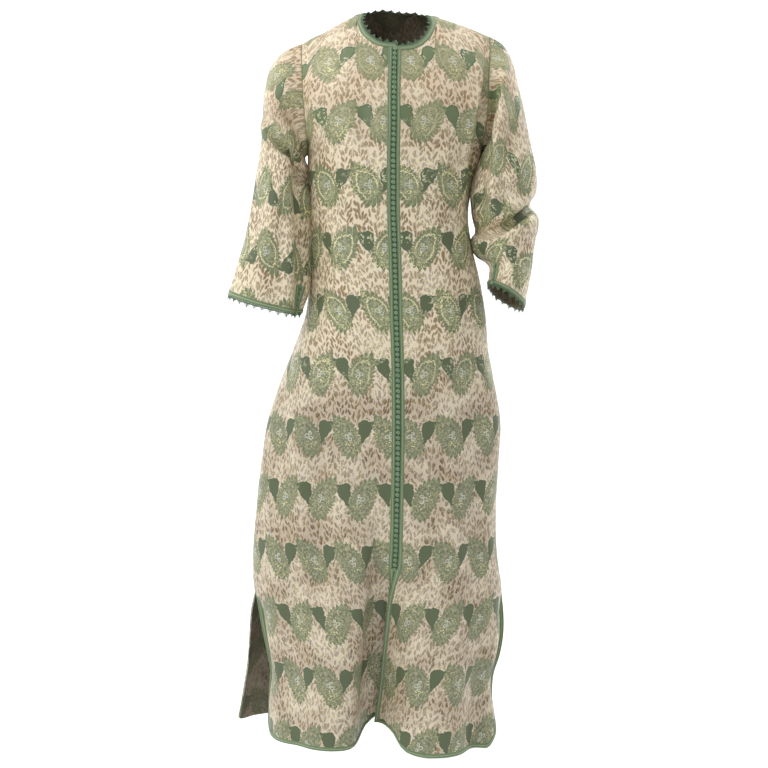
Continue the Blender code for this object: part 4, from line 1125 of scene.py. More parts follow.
# %% The repeat's masks
def repeat_masks(tree):
    """Nodes for every figure of the repeat, by name."""
    uv = add(tree, "UVMap", uv_map="cloth")
    flat = add(tree, "VectorMath SCALE", {0: uv, "Scale": 1000.0})
    for scale, reach in ((0.05, 5.0), (0.17, 4.0), (0.8, 1.1)):
        drift = add(tree, "TexNoise", {"Vector": flat, "Scale": scale, "Detail": 1.0})
        centred = add(tree, "VectorMath SUBTRACT", [drift.outputs["Color"], (0.5, 0.5, 0.5)])
        flat = add(tree, "VectorMath MULTIPLY_ADD", {0: centred, 1: (reach, reach, 0.0), 2: flat})
    sides = add(tree, "SeparateXYZ", [flat])
    u, v = sides.outputs[0], sides.outputs[1]
    row = add(tree, "Math DIVIDE", [v, REPEAT_HIGH])
    odd = add(tree, "Math FLOORED_MODULO", [add(tree, "Math FLOOR", [row]), 2.0])
    turned = add(tree, "Math MULTIPLY_ADD", [odd, 2.0, -1.0])
    x = add(tree, "Math MULTIPLY", [u, turned])
    y = add(tree, "Math FLOORED_MODULO", [v, REPEAT_HIGH])
    y = add(tree, "Math SUBTRACT", [y, REPEAT_HIGH / 2])
    found = dict(uv=uv, flat=flat)

    # the palmette: small petals round a ring, with three little rings in the middle
    far, turn = polar(tree, x, y, PALMETTE_AT)
    curved = add(tree, "Math MULTIPLY_ADD", [turn, PETALS, both(tree, far, PETAL_CURVE)])
    petal = add(tree, "Math PINGPONG", [curved, 0.5])
    pointed = add(tree, "Math MULTIPLY_ADD", [petal, 0.38, 0.83])
    edge = both(tree, outline(tree, turn, PALMETTE), pointed)
    ring_edge = both(tree, outline(tree, turn, RING), add(tree, "Math MULTIPLY_ADD", [petal, 0.26, 0.90]))
    off_ring = between(tree, far, ring_edge)
    opening = between(tree, turn, 0.37)
    found["palmette"] = within(tree, far, edge, 0.7)
    found["inside_ring"] = within(tree, far, ring_edge, 0.7)
    found["ring"] = both(tree, within(tree, off_ring, 1.1, 0.6), step(tree, opening, 0.13, 0.03))
    found["between"] = both(
        tree, within(tree, petal, 0.07, 0.06), step(tree, far, ring_edge, 0.7), found["palmette"]
    )
    feather = add(tree, "CombineXYZ", [both(tree, turn, PETALS * 1.5), both(tree, far, 0.21), 0.0])
    plumes = add(tree, "TexVoronoi", {"Vector": feather, "Scale": 1.0, "Randomness": 0.9}, **LEVEL)
    found["plume"] = within(tree, plumes, 0.46, 0.16)
    found["plume_pick"] = add(tree, "SeparateColor", [plumes.outputs["Color"]])
    silver = None
    for across, up, radius in SMALL_RINGS:
        near, _ = polar(tree, x, y, (across, up))
        off = between(tree, near, radius)
        line = within(tree, off, 0.55, 0.4)
        silver = line if silver is None else add(tree, "Math MAXIMUM", [silver, line])
    found["silver"] = silver

    # the leaf beside it
    leaf_far, leaf_turn = polar(tree, x, y, LEAF_AT)
    torn = add(tree, "TexNoise", {"Vector": flat, "Scale": 0.22, "Detail": 1.0})
    leaf = add(tree, "Math MULTIPLY_ADD", [torn, 4.0, outline(tree, leaf_turn, LEAF)])
    leaf = add(tree, "Math SUBTRACT", [leaf, 1.9])
    found["leaf"] = within(tree, leaf_far, leaf, 0.6)
    found["leaf_inside"] = within(tree, leaf_far, add(tree, "Math SUBTRACT", [leaf, 2.6]), 0.5)
    found["leaf_halo"] = within(tree, leaf_far, add(tree, "Math ADD", [leaf, 1.6]), 0.8)

    # small cells within the figures
    veins = add(tree, "TexVoronoi", {"Vector": flat, "Scale": 0.26}, feature="DISTANCE_TO_EDGE", **LEVEL)
    cells = add(tree, "TexVoronoi", {"Vector": flat, "Scale": 0.26}, **LEVEL)
    vein = within(tree, veins, 0.105, 0.05)
    cell = add(tree, "SeparateColor", [cells.outputs["Color"]])
    off_vein = rest(tree, vein)
    found["facet"] = both(tree, step(tree, cell, 0.52, 0.02), off_vein)

    # the ground's sprigs: leaf-shaped strokes that lean left and right by turns
    band = add(tree, "Math PINGPONG", [u, 13.0])
    lean = add(tree, "Math MULTIPLY_ADD", [v, -0.34, band])
    number = add(tree, "Math FLOOR", [add(tree, "Math DIVIDE", [u, 13.0])])
    high = add(tree, "Math MULTIPLY_ADD", [number, 3.37, add(tree, "Math DIVIDE", [v, 12.8])])
    place = add(tree, "CombineXYZ", [add(tree, "Math DIVIDE", [lean, 5.8]), high, 0.0])
    inside = between(tree, band, 6.5)
    inside = within(tree, inside, 6.1, 0.3)
    sprigs = add(tree, "TexVoronoi", {"Vector": place, "Scale": 1.0, "Randomness": 0.8}, **LEVEL)
    found["sprig"] = both(tree, within(tree, sprigs, 0.415, 0.08), inside)
    found["sprig_halo"] = within(tree, sprigs, 0.50, 0.10)
    found["sprig_pick"] = add(tree, "SeparateColor", [sprigs.outputs["Color"]])
    flecks = add(tree, "TexVoronoi", {"Vector": flat, "Scale": 0.34}, **LEVEL)
    picked = step(tree, add(tree, "SeparateColor", [flecks.outputs["Color"]]), 0.62, 0.02)
    found["fleck"] = both(tree, within(tree, flecks, 0.36, 0.10), picked)
    below, _ = polar(tree, x, y, (PALMETTE_AT[0] + 3.0, PALMETTE_AT[1] - 12.0))
    found["middle"] = within(tree, below, 9.0, 5.0)
    return found


print("the repeat is", REPEAT_WIDE, "by", REPEAT_HIGH, "mm")

# %% [markdown]
# ## The brocade's colours and relief
# From the shoulders to the hem the colours change: the ground turns from pinkish tan to
# cream, and the leaves from faceted to plain dark green. These changes are painted light: the
# chest and a band below it to the hips are painted lighter and more golden, as gold threads that
# reflect the light, the leaves' pale facets there are a painted reflection, and the cloth is
# painted darker towards the hem. The pattern weft stands proud of the satin, which a bump shows
# well enough at this depth, half a millimetre.

# %% The brocade's colours and relief
def brocade(name, reverse=False):
    made, tree, shader = new_material(name)
    mask = repeat_masks(tree)
    height = add(tree, "SeparateXYZ", [add(tree, "TexCoord").outputs["Object"]]).outputs[2]
    # painted light and shade: lighter and more golden on the chest and in a band down to the hips, as gold
    # threads that reflect the light, and darker towards the hem
    lit_chest = add(tree, "MapRange", [height, -0.30, -0.14, 0.0, 1.0])
    lit_upper = add(tree, "MapRange", [height, -0.74, -0.60, 0.0, 1.0])
    above = add(tree, "MapRange", [height, -0.27, -0.19, 1.0, 0.15])
    painted_light_band = both(tree, above, lit_upper)
    tone = add(tree, "TexNoise", {"Vector": mask["flat"], "Scale": 0.016, "Detail": 2.0})
    small = add(tree, "TexNoise", {"Vector": mask["flat"], "Scale": 0.45, "Detail": 3.0})
    patch = add(tree, "MapRange", [tone, 0.40, 0.62, 0.0, 1.0])

    ground = coated(
        tree, colour("c2b29a"), ("e0c7a6", lit_chest), ("f6e6c8", painted_light_band, 0.8), ("f2e8d2", patch, 0.6),
        ("ece0d0", mask["sprig_halo"], 0.5)
    )
    stroke = coated(
        tree, colour("6f5c3d"), ("9b8059", lit_chest), ("a88f60", painted_light_band, 0.5),
        ("a48f68", mask["sprig_pick"])
    )
    weight = add(tree, "MapRange", [patch, 0.0, 1.0, 1.0, 0.62])
    base = mixed(tree, both(tree, mask["sprig"], weight), ground, stroke)

    # the leaf: pale facets inside a dark line on the chest, a painted reflection of its gold
    # threads, and plain dark green below
    some = step(tree, add(tree, "TexNoise", {"Vector": mask["flat"], "Scale": 0.022}), 0.50, 0.02)
    reflecting_facets = both(tree, mask["facet"], mask["leaf_inside"], lit_upper, some, 0.85)
    green = coated(
        tree, colour("525f43"), ("6b7c55", lit_chest), ("858c66", small, 0.35),
        ("546848", rest(tree, mask["leaf_inside"]), lit_chest), ("dcdcb4", reflecting_facets)
    )
    base = coated(tree, base, ("e8dcc0", mask["leaf_halo"], 0.65))
    base = mixed(tree, mask["leaf"], base, green)

    # the palmette: feathered all over. Its contrast and its gold ring are painted strongest
    # between the chest and the waist, as painted reflection of the gold threads, and it is painted
    # darker below the hips
    bold, rib, ring = [
        add(tree, "MapRange", [painted_light_band, 0.0, 1.0, low, high])
        for low, high in ((0.35, 0.62), (0.25, 0.52), (0.10, 0.85))
    ]
    body = mixed(tree, mask["plume_pick"], colour("9aa17b"), colour("687457"))
    body = coated(
        tree, body, ("a39d74", lit_chest, 0.5), ("666b57", rest(tree, lit_upper), 0.5),
        ("d0c8a4", rest(tree, mask["plume"]), 0.40), ("687650", rest(tree, mask["inside_ring"]), bold),
        ("ddd2ac", mask["between"], rib), ("faf0c2", mask["ring"], ring), ("dfe2d4", mask["silver"])
    )
    base = mixed(tree, mask["palmette"], base, body)

    # gold flecks: gold threads painted as pale glints, many in pale patches of the ground, more
    # in the painted light band, and in the middle of each palmette
    lit = add(tree, "MapRange", [painted_light_band, 0.0, 1.0, 0.55, 1.0])
    bright = add(tree, "Math MAXIMUM", [both(tree, patch, lit), mask["middle"]])
    gold_thread_and_glint = both(tree, mask["fleck"], bright, rest(tree, mask["leaf"]))
    base = coated(tree, base, ("fbf1b6", gold_thread_and_glint))

    # relief: satin floats across, and the pattern weft standing on them
    weft = {"Vector": mask["uv"], "Scale": 160.0, "Distortion": 2.0}
    floats = add(tree, "TexWave", weft, bands_direction="Y")
    raised = add(tree, "Math MAXIMUM", [mask["palmette"], mask["leaf"]])
    raised = add(tree, "Math MAXIMUM", [raised, mask["sprig"]])
    raised = add(tree, "Math MULTIPLY_ADD", [both(tree, mask["plume"], mask["palmette"]), 0.4, raised])
    height = add(tree, "Math MULTIPLY_ADD", [floats, 0.2, raised])
    height = add(tree, "Math MULTIPLY_ADD", [small, 0.4, height])
    bump = add(tree, "Bump", {"Strength": 0.5, "Distance": 0.0005, "Height": height})
    if reverse:
        # the reverse is painted dark olive: partly its duller weave, partly painted shade inside the
        # garment
        base = coated(tree, base, ("57503c", 0.72))
        feed(tree, shader, {"Roughness": 0.85})
    else:
        rough = add(tree, "MapRange", [small, 0.3, 0.7, 0.40, 0.60])
        feed(tree, shader, {"Roughness": rough, "Metallic": both(tree, gold_thread_and_glint, 0.6)})
        feed(tree, shader, {"Sheen Weight": 0.10, "Sheen Roughness": 0.4})
    feed(tree, shader, {"Base Color": base, "Normal": bump})
    return made


brocade_face, brocade_reverse = brocade("brocade"), brocade("brocade_reverse", reverse=True)
print("nodes in the brocade:", len(brocade_face.node_tree.nodes))

# %% [markdown]
# ## The five cloth pieces
# Each sheet takes its cloth, face outside and reverse inside. The sleeves are open along the slit
# at the cuff.

# %% The five cloth pieces
shells = {}
for name, sheet in sheets.items():
    kept = np.ones((sheet.row_at[-1], sheet.wide), bool)
    if sheet.closed:
        slit_column = SLEEVES[name[7:]][1]
        across_slit = slice(sheet.column_at[slit_column], sheet.column_at[slit_column + 1])
        kept[sheet.row_at[-4] :, across_slit] = False
    shells[name] = shell(name + "_cloth", sheet, kept, [brocade_face, brocade_reverse])
    print(name, len(shells[name].data.polygons), "faces")

# %% [markdown]
# ## Braid material
# The trims are knitted and plaited from green rayon yarn by hand. Fine chevrons run along the
# braid, and one lighter cord runs up its middle. The chevrons are too small to model, so two
# waves draw them in colour and relief; their darker and lighter stripes are painted shade and
# highlight on the plait's ridges.

# %% Braid material
def yarn(name, dark, light, line=None, pitch=0.0024):
    """Plaited yarn. Its UV map runs across from 0 to 1 and along in metres."""
    made, tree, shader = new_material(name)
    spot = add(tree, "SeparateXYZ", [add(tree, "UVMap", uv_map="cloth")])
    across, along = spot.outputs[0], spot.outputs[1]
    fold = add(tree, "Math PINGPONG", [across, 0.25])
    slant = add(tree, "Math MULTIPLY_ADD", [fold, 0.010, along])
    turns = add(tree, "Math MULTIPLY", [slant, 2 * math.pi / pitch])
    plait = add(tree, "MapRange", [add(tree, "Math SINE", [turns]), -1.0, 1.0, 0.0, 1.0])
    place = add(tree, "TexCoord").outputs["Object"]
    wear = add(tree, "TexNoise", {"Vector": place, "Scale": 160.0, "Detail": 2.0})
    # painted shade and highlight of the plait's ridges, with random tone
    shade = add(tree, "Math MULTIPLY_ADD", [plait, 0.55, both(tree, wear, 0.45)])
    base = mixed(tree, shade, colour(dark), colour(light))
    if line:
        off = between(tree, across, 0.5)
        base = mixed(tree, within(tree, off, 0.095, 0.03), base, colour(line))
    bump = add(tree, "Bump", {"Strength": 0.8, "Distance": 0.0005, "Height": shade})
    feed(tree, shader, {"Base Color": base, "Normal": bump, "Roughness": 0.55, "Sheen Weight": 0.25})
    return made


braid_yarn = yarn("rayon_braid", "526c47", "8ba077", line="a7b58c")
# painted shade: the dark yarn under the knots stands partly for the shadow between the knots
dark_ground_and_shade_yarn = yarn("rayon_and_painted_shade_under_the_knots", "2a4a30", "456a48")
# painted highlight: the knots' yarn is lighter than the braid's, for the light on the knots
lit_knot_yarn = yarn("rayon_knots", "699068", "aecaa0", pitch=0.0011)
lace_yarn = yarn("rayon_lace", "3d5c3b", "76946b", pitch=0.0016)
seam_yarn = yarn("rayon_seam_cord", "757d4d", "a3a97a", pitch=0.0016)
print("yarns:", braid_yarn.name, lit_knot_yarn.name)

# %% [markdown]
# ## Flat braids
# A braid is a strip between two lines of points on the cloth, with a rounded cord at each edge and
# one along its middle. A curve with a bevel would twist where the line turns, and this strip lies
# flat round every corner.

# %% Flat braids
CORDS = [0.0004, 0.0012, 0.0016, 0.0012, 0.0009, 0.0017, 0.0009, 0.0012, 0.0016, 0.0012, 0.0004]
LOW = [0.0003, 0.0007, 0.0007, 0.0003]
UNDERSIDE = -0.0002  # a braid's lower face is sewn this far into the cloth


class Strips:
    """Strips of one trim, gathered into one mesh."""

    def __init__(self):
        self.points, self.faces, self.uv, self.slots = [], [], [], []

    def add(self, first, second, heights=CORDS, slot=0):
        """A strip from one line to another: each is an array of points and one of ways out."""
        (a, out_a), (b, out_b) = first, second
        rows, columns = len(a), len(heights)
        shares = np.linspace(0, 1, columns)[None, :, None]
        out = unit(out_a[:, None] * (1 - shares) + out_b[:, None] * shares)
        flat = a[:, None] * (1 - shares) + b[:, None] * shares
        top = flat + out * np.array(heights)[None, :, None]
        under = flat + out * UNDERSIDE
        base = sum(len(points) for points in self.points)
        self.points += [top.reshape(-1, 3), under.reshape(-1, 3)]
        middle = (a + b) / 2
        gone = np.linalg.norm(np.diff(middle, axis=0), axis=1).cumsum()
        along = np.concatenate([[0.0], gone])
        facing = np.dot(np.cross(middle[1] - middle[0], (b - a)[0]), out_a[0]) < 0

        def face(corners):
            loop = [(layer, r, c) for layer, r, c in corners]
            if facing:
                loop.reverse()
            self.faces.append([base + layer * rows * columns + r * columns + c for layer, r, c in loop])
            self.uv += [(c / (columns - 1), along[r]) for _, r, c in loop]
            self.slots.append(slot)

        for r in range(rows - 1):
            for c in range(columns - 1):
                face([(0, r, c), (0, r + 1, c), (0, r + 1, c + 1), (0, r, c + 1)])
                face([(1, r, c + 1), (1, r + 1, c + 1), (1, r + 1, c), (1, r, c)])
            last = columns - 1
            face([(1, r, 0), (1, r + 1, 0), (0, r + 1, 0), (0, r, 0)])
            face([(0, r, last), (0, r + 1, last), (1, r + 1, last), (1, r, last)])
        for c in range(columns - 1):
            face([(0, 0, c + 1), (1, 0, c + 1), (1, 0, c), (0, 0, c)])
            face([(0, rows - 1, c), (1, rows - 1, c), (1, rows - 1, c + 1), (0, rows - 1, c + 1)])

    def made(self, name, materials):
        mesh = mesh_of(name, np.concatenate(self.points), self.faces, self.uv)
        mesh.polygons.foreach_set("material_index", self.slots)
        mesh.shade_smooth()
        mesh.set_sharp_from_angle(angle=math.radians(60))
        return linked(name, mesh, materials)


def line_on(sheet, rows, columns):
    """(points, ways out) along a row or a column of a sheet, or at matching lists of both."""
    return sheet.points[rows, columns], sheet.out[rows, columns]


right, left, back = sheets["front_right"], sheets["front_left"], sheets["back"]
NECK_ROW, SLIT_TOP_ROW, HEM_TOP, HEM_ROW = [back.row_at[k] for k in (1, SLIT_ROW, -2, -1)]
PLACKET_END_ROW = back.row_at[PLACKET_ROW]
INNER, OUTER, SIDE_BAND, SIDE_SEAM = [right.column_at[k] for k in (1, 2, -2, -1)]
NECK_SIDE, PAST_NECK = right.column_at[NECK_POINT : NECK_POINT + 2]
BACK_MIDDLE = back.column_at[MIDDLE]
NECK_REACH, PAST_REACH = [back.column_at[MIDDLE + BACK_NECK + k] - BACK_MIDDLE for k in (0, 1)]


def round_the_neck(panel, columns, side, past):
    """Inner and outer lines of the neck braid on one panel: from its middle, then round the corner."""
    sign = 1 if past > side else -1
    corner = [(NECK_ROW, c) for c in range(side + sign, past + sign, sign)]
    corner += [(r, past) for r in range(NECK_ROW - 1, -1, -1)]
    inner = line_on(panel, 0, [*columns, side] + [side] * len(corner))
    outer = zip(*([(NECK_ROW, c) for c in [*columns, side]] + corner))
    return inner, line_on(panel, *map(list, outer))


def turned_round(line):
    return tuple(part[::-1] for part in line)


halves = {}
for side, sign in SIGNS.items():
    halves[side] = round_the_neck(sheets["front_" + side], range(NECK_SIDE), NECK_SIDE, PAST_NECK)
    columns = [BACK_MIDDLE + sign * k for k in range(NECK_REACH)]
    ends = [BACK_MIDDLE + sign * reach for reach in (NECK_REACH, PAST_REACH)]
    halves["back_" + side] = round_the_neck(back, columns, *ends)
neck_lines = []
for k in (0, 1):
    quarters = [halves["right"][k], turned_round(halves["back_right"][k])]
    quarters += [halves["back_left"][k], turned_round(halves["left"][k])]
    neck_lines.append([np.concatenate(parts) for parts in zip(*quarters)])
print("points along the neck braid:", len(neck_lines[0][0]))

# %% [markdown]
# ## Braids on the neck, the front, the hem and the slits
# The neck and front braid is one length in the pattern: up one front edge, round the neck and down
# the other. Below the last knot each front edge has its own braid, which goes on along the hem and
# up the side slit.

# %% Braids on the neck, the front, the hem and the slits
neck_braid = Strips()
neck_braid.add(*neck_lines)
rows = range(NECK_ROW, PLACKET_END_ROW + 1)
for panel in (right, left):
    edge, inner, outer = [line_on(panel, rows, c) for c in (0, INNER, OUTER)]
    neck_braid.add(inner, outer)
    # the low dark strip under the knots: partly painted shade between them
    neck_braid.add(edge, inner, heights=LOW, slot=1)
neck_braid = neck_braid.made("neck_and_front_braid_plait", [braid_yarn, dark_ground_and_shade_yarn])

hem_braids = {}
for name in ("front_right", "front_left", "back"):
    panel, braid = sheets[name], Strips()
    columns = range(panel.wide + 1)
    braid.add(line_on(panel, HEM_TOP, columns), line_on(panel, HEM_ROW, columns))
    first = (0, back.column_at[1], SLIT_TOP_ROW) if name == "back" else (0, OUTER, PLACKET_END_ROW)
    for edge, inner, top in (first, (panel.wide, panel.column_at[-2], SLIT_TOP_ROW)):
        rows = range(top, HEM_TOP + 1)
        braid.add(line_on(panel, rows, edge), line_on(panel, rows, inner))
    hem_braids[name] = braid.made(f"hem_braid_{name}_plait", [braid_yarn])

tacks = {}
rows = range(back.row_at[SLIT_ROW - 1], SLIT_TOP_ROW + 1)
for side, sign in SIGNS.items():
    front, tack = sheets["front_" + side], Strips()
    seam = line_on(front, rows, SIDE_SEAM)
    tack.add(line_on(front, rows, SIDE_BAND), seam)
    tack.add(seam, line_on(back, rows, back.column_at[1 if sign < 0 else -2]))
    tacks[side] = tack.made(f"slit_tack_{side}_plait", [braid_yarn])


def beside_slit(side):
    """A sleeve's columns before and after its slit, two of each, and the way round between them."""
    sleeve, first = sheets["sleeve_" + side], SLEEVES[side][1] - 1
    beside = sleeve.column_at[first : first + 4]
    return beside, [c % sleeve.wide for c in range(beside[2], beside[1] + sleeve.wide + 1)]


cuff_braids = {}
for side in SIGNS:
    sleeve, braid = sheets["sleeve_" + side], Strips()
    top, high, low = [sleeve.row_at[k] for k in (-4, -2, -1)]
    (inner_before, before, after, inner_after), columns = beside_slit(side)
    braid.add(line_on(sleeve, high, columns), line_on(sleeve, low, columns))
    rows = range(top, high + 1)
    for edge, inner in ((before, inner_before), (after, inner_after)):
        braid.add(line_on(sleeve, rows, edge), line_on(sleeve, rows, inner))
    cuff_braids[side] = braid.made(f"cuff_braid_{side}_plait", [braid_yarn])
print("braid faces:", len(neck_braid.data.polygons), [len(b.data.polygons) for b in hem_braids.values()])

# %% [markdown]
# ## Things repeated along a line
# Knots, lace teeth and stitches all repeat along a line on the cloth. One Geometry Nodes group
# places them: it resamples the line at an even pitch, and turns each copy to the line and to the
# cloth's way out. An array modifier would repeat them too, but it can't follow the cloth's turn.

# %% Things repeated along a line
def repeater():
    """The node group: copies of one object at an even pitch along a line of points."""
    tree = bpy.data.node_groups.new("repeat_along_a_line", "GeometryNodeTree")
    wanted = [("Line", "Geometry"), ("Piece", "Object"), ("Pitch", "Float"), ("Size spread", "Float")]
    for name, kind in wanted + [("Turn spread", "Float"), ("Seed", "Int"), ("Material", "Material")]:
        tree.interface.new_socket(name, in_out="INPUT", socket_type="NodeSocket" + kind)
    tree.interface.new_socket("Copies", in_out="OUTPUT", socket_type="NodeSocketGeometry")
    given = add(tree, "NodeGroupInput").outputs
    seed, spread, swing = given["Seed"], given["Size spread"], given["Turn spread"]

    line = add(tree, "GeometryNodeMeshToCurve", {"Mesh": given["Line"]})
    even = add(tree, "GeometryNodeResampleCurve", {"Curve": line, "Length": given["Pitch"]}, mode="LENGTH")
    out = add(tree, "GeometryNodeInputNamedAttribute", {"Name": "out"}, data_type="FLOAT_VECTOR")
    tangent = add(tree, "GeometryNodeInputTangent")
    align = "FunctionNodeAlignRotationToVector"
    facing = add(tree, align, {"Vector": tangent}, axis="X")
    facing = add(tree, align, {"Rotation": facing, "Vector": out}, axis="Z", pivot_axis="X")
    low, high = [add(tree, "Math " + way, [1.0, spread]) for way in ("SUBTRACT", "ADD")]
    size = add(tree, "FunctionNodeRandomValue", {2: low, 3: high, "Seed": seed}).outputs[1]
    least = add(tree, "Math MULTIPLY", [swing, -1.0])
    turn = add(tree, "FunctionNodeRandomValue", {2: least, 3: swing, "Seed": seed}).outputs[1]
    turn = add(tree, "FunctionNodeEulerToRotation", {"Euler": add(tree, "CombineXYZ", {"Z": turn})})
    turned = {"Rotation": facing, "Rotate By": turn}
    facing = add(tree, "FunctionNodeRotateRotation", turned, rotation_space="LOCAL")
    copies = add(tree, "GeometryNodeObjectInfo", {"Object": given["Piece"]}, transform_space="ORIGINAL")
    placed = {"Points": even, "Instance": copies.outputs["Geometry"], "Rotation": facing, "Scale": size}
    placed = add(tree, "GeometryNodeInstanceOnPoints", placed)
    real = add(tree, "GeometryNodeRealizeInstances", {"Geometry": placed})
    dyed = add(tree, "GeometryNodeSetMaterial", {"Geometry": real, "Material": given["Material"]})
    add(tree, "NodeGroupOutput", {"Copies": dyed})
    return tree


REPEATER = repeater()


def repeated(name, lines, piece, pitch, material, size_spread=0.0, turn_spread=0.0, seed=1):
    """A mesh of copies along lines of (points, ways out), made by the node group and then fixed."""
    points = np.concatenate([line[0] for line in lines])
    ways = np.concatenate([line[1] for line in lines])
    edges, start = [], 0
    for line in lines:
        edges += [(start + k, start + k + 1) for k in range(len(line[0]) - 1)]
        start += len(line[0])
    guide_mesh = bpy.data.meshes.new(name + "_guide")
    guide_mesh.from_pydata(points.tolist(), edges, [])
    stored = guide_mesh.attributes.new("out", "FLOAT_VECTOR", "POINT")
    stored.data.foreach_set("vector", ways.astype(np.float32).ravel())
    guide = placed(name + "_guide", guide_mesh, studio)
    modifier = guide.modifiers.new("repeat", "NODES")
    modifier.node_group = REPEATER
    wanted = {"Piece": piece, "Pitch": pitch, "Size spread": size_spread, "Turn spread": turn_spread}
    for key, value in {**wanted, "Seed": seed, "Material": material}.items():
        modifier[REPEATER.interface.items_tree[key].identifier] = value
    bpy.context.view_layer.update()
    mesh = bpy.data.meshes.new_from_object(guide.evaluated_get(bpy.context.evaluated_depsgraph_get()))
    mesh.name = name
    guide.modifiers.remove(modifier)
    bpy.data.objects.remove(guide)
    mesh.shade_smooth()
    return placed(name, mesh)


def tube(paths, radius, sides=6):
    """A mesh of cords along (points, closed) paths. Its UV map runs along each of them."""
    points, faces, uv = [], [], []
    for path, closed in paths:
        path = np.array(path)
        count, base = len(path), sum(len(part) for part in points)
        if closed:
            ahead = np.roll(path, -1, axis=0) - np.roll(path, 1, axis=0)
        else:
            ahead = np.gradient(path, axis=0)
        ahead = unit(ahead)
        side = np.cross(ahead, (0.13, 0.31, 0.94))
        side = unit(side)
        up = np.cross(ahead, side)
        turns = 2 * np.pi * np.arange(sides) / sides
        ring = side[:, None] * np.cos(turns)[None, :, None] + up[:, None] * np.sin(turns)[None, :, None]
        points.append((path[:, None] + ring * radius).reshape(-1, 3))
        gone = np.linalg.norm(np.roll(path, -1, axis=0) - path, axis=1).cumsum()
        along = np.concatenate([[0.0], gone])
        for k in range(count if closed else count - 1):
            for m in range(sides):
                corners = [(k, m), (k, m + 1), (k + 1, m + 1), (k + 1, m)]
                faces.append([base + r % count * sides + s % sides for r, s in corners])
                uv += [(s / sides, along[r]) for r, s in corners]
        if not closed:
            for k, order in ((0, range(sides - 1, -1, -1)), (count - 1, range(sides))):
                faces.append([base + k * sides + m for m in order])
                uv += [(m / sides, along[k]) for m in order]
    return mesh_of("cord", np.concatenate(points), faces, uv)


def pattern_piece(name, mesh):
    """A small piece to be copied. It is not shown itself."""
    made = placed(name, mesh, studio)
    made.hide_render = True
    return made


def joined(mesh, other):
    """A mesh with another one added to it."""
    whole = bmesh.new()
    for part in (mesh, other):
        whole.from_mesh(part)
    whole.to_mesh(mesh)
    whole.free()
    return mesh


print("inputs of the node group:", len(REPEATER.interface.items_tree))

# %% [markdown]
# ## Knots and loops
# Each button is a knot of cord held by a loop of thinner cord from the other side. The knot is a
# cord wound three times round itself, as a maker ties it. A plain ball would be quicker, but the
# turns of the cord are what makes the ladder down the front look knotted.

# %% Knots and loops
KNOT_PITCH = 0.0096
KNOT_CORD, LOOP_CORD = 0.00108, 0.0005  # radius of each
KNOT_FLATNESS = 0.72
KNOT_LEAN = 0.5  # angle


def knot_piece():
    t = np.linspace(0, 2 * np.pi, 40, endpoint=False)
    reach = 0.0024 + 0.0012 * np.cos(3 * t)
    height = 0.0030 + 0.0014 * np.sin(3 * t)
    knot = np.stack([reach * np.cos(2 * t), reach * np.sin(2 * t) * 1.1, height], axis=1)
    c, s = math.cos(KNOT_LEAN), math.sin(KNOT_LEAN)
    knot = knot * [1.0, KNOT_FLATNESS, 1.0] @ np.array([[c, s, 0.0], [-s, c, 0.0], [0.0, 0.0, 1.0]])
    turn = np.linspace(-0.5, 0.5, 13) * np.pi * 1.25
    x, y, z = 0.0030 * np.sin(turn), 0.0036 * np.cos(turn) - 0.0006, 0.0013 + 0.0003 * np.cos(turn)
    loop = tube([(np.stack([x, y, z], axis=1), False)], LOOP_CORD, sides=5)
    return pattern_piece("knot_and_loop", joined(tube([(knot, True)], KNOT_CORD), loop))


def middle_of(first, second):
    return (first[0] + second[0]) / 2, unit(first[1] + second[1])


KNOTS = dict(piece=knot_piece(), pitch=KNOT_PITCH, material=lit_knot_yarn, size_spread=0.06, turn_spread=0.10)
rows = range(NECK_ROW + 1, PLACKET_END_ROW + 1)
line = middle_of(line_on(right, rows, 0), line_on(left, rows, 0))
front_knots = repeated("front_knots_tied", [line], seed=4, **KNOTS)
cuff_knots = {}
for side in SIGNS:
    sleeve = sheets["sleeve_" + side]
    (_, before, after, _), _ = beside_slit(side)
    rows = range(sleeve.row_at[-4], sleeve.row_at[-1] + 1)
    line = middle_of(line_on(sleeve, rows, before), line_on(sleeve, rows, after))
    cuff_knots[side] = repeated(f"cuff_knots_{side}_tied", [line], seed=6, **KNOTS)
print("faces of the front knots:", len(front_knots.data.polygons))

# %% [markdown]
# ## Lace teeth
# The neck and the cuffs end in small crocheted teeth: a chain along the edge, and on it arches of
# thread that come to a point.

# %% Lace teeth
TOOTH_PITCH, TOOTH_THREAD = 0.0150, 0.00066
CHAIN_PITCH, CHAIN_THREAD = 0.0026, 0.00062
OFF_EDGE = 0.0006  # the line of the lace lies this far past the edge, and as far below the face
NEARLY_ROUND = 6.28  # a ring's last point falls on its first one and is left out


def ring_turns(count):
    return np.linspace(0, NEARLY_ROUND, count + 1)[:-1]


def tooth_piece():
    """One tooth in the plane of the cloth: x runs along the edge and y off it."""
    def arch(half, height, lift):
        turn = np.pi * np.linspace(0, 1, 13)
        y = height * np.sin(turn) ** 0.8 * (1 - 0.25 * np.abs(np.cos(turn)))
        return np.stack([half * np.cos(turn), y, np.full(13, lift)], axis=1), False

    small = [(0.0009 * math.cos(a), 0.0068 + 0.0009 * math.sin(a), 0.0) for a in ring_turns(8)]
    rungs = [
        ([(-0.0034, 0.0008, 0.0), (0.0, 0.0040, 0.0003), (0.0034, 0.0008, 0.0)], False),
        ([(0.0, 0.0002, 0.0), (0.0, 0.0052, 0.0)], False),
    ]
    paths = [arch(0.0054, 0.0058, 0.0), arch(0.0032, 0.0036, 0.0003), (small, True)] + rungs
    return pattern_piece("lace_tooth", tube(paths, TOOTH_THREAD, sides=5))


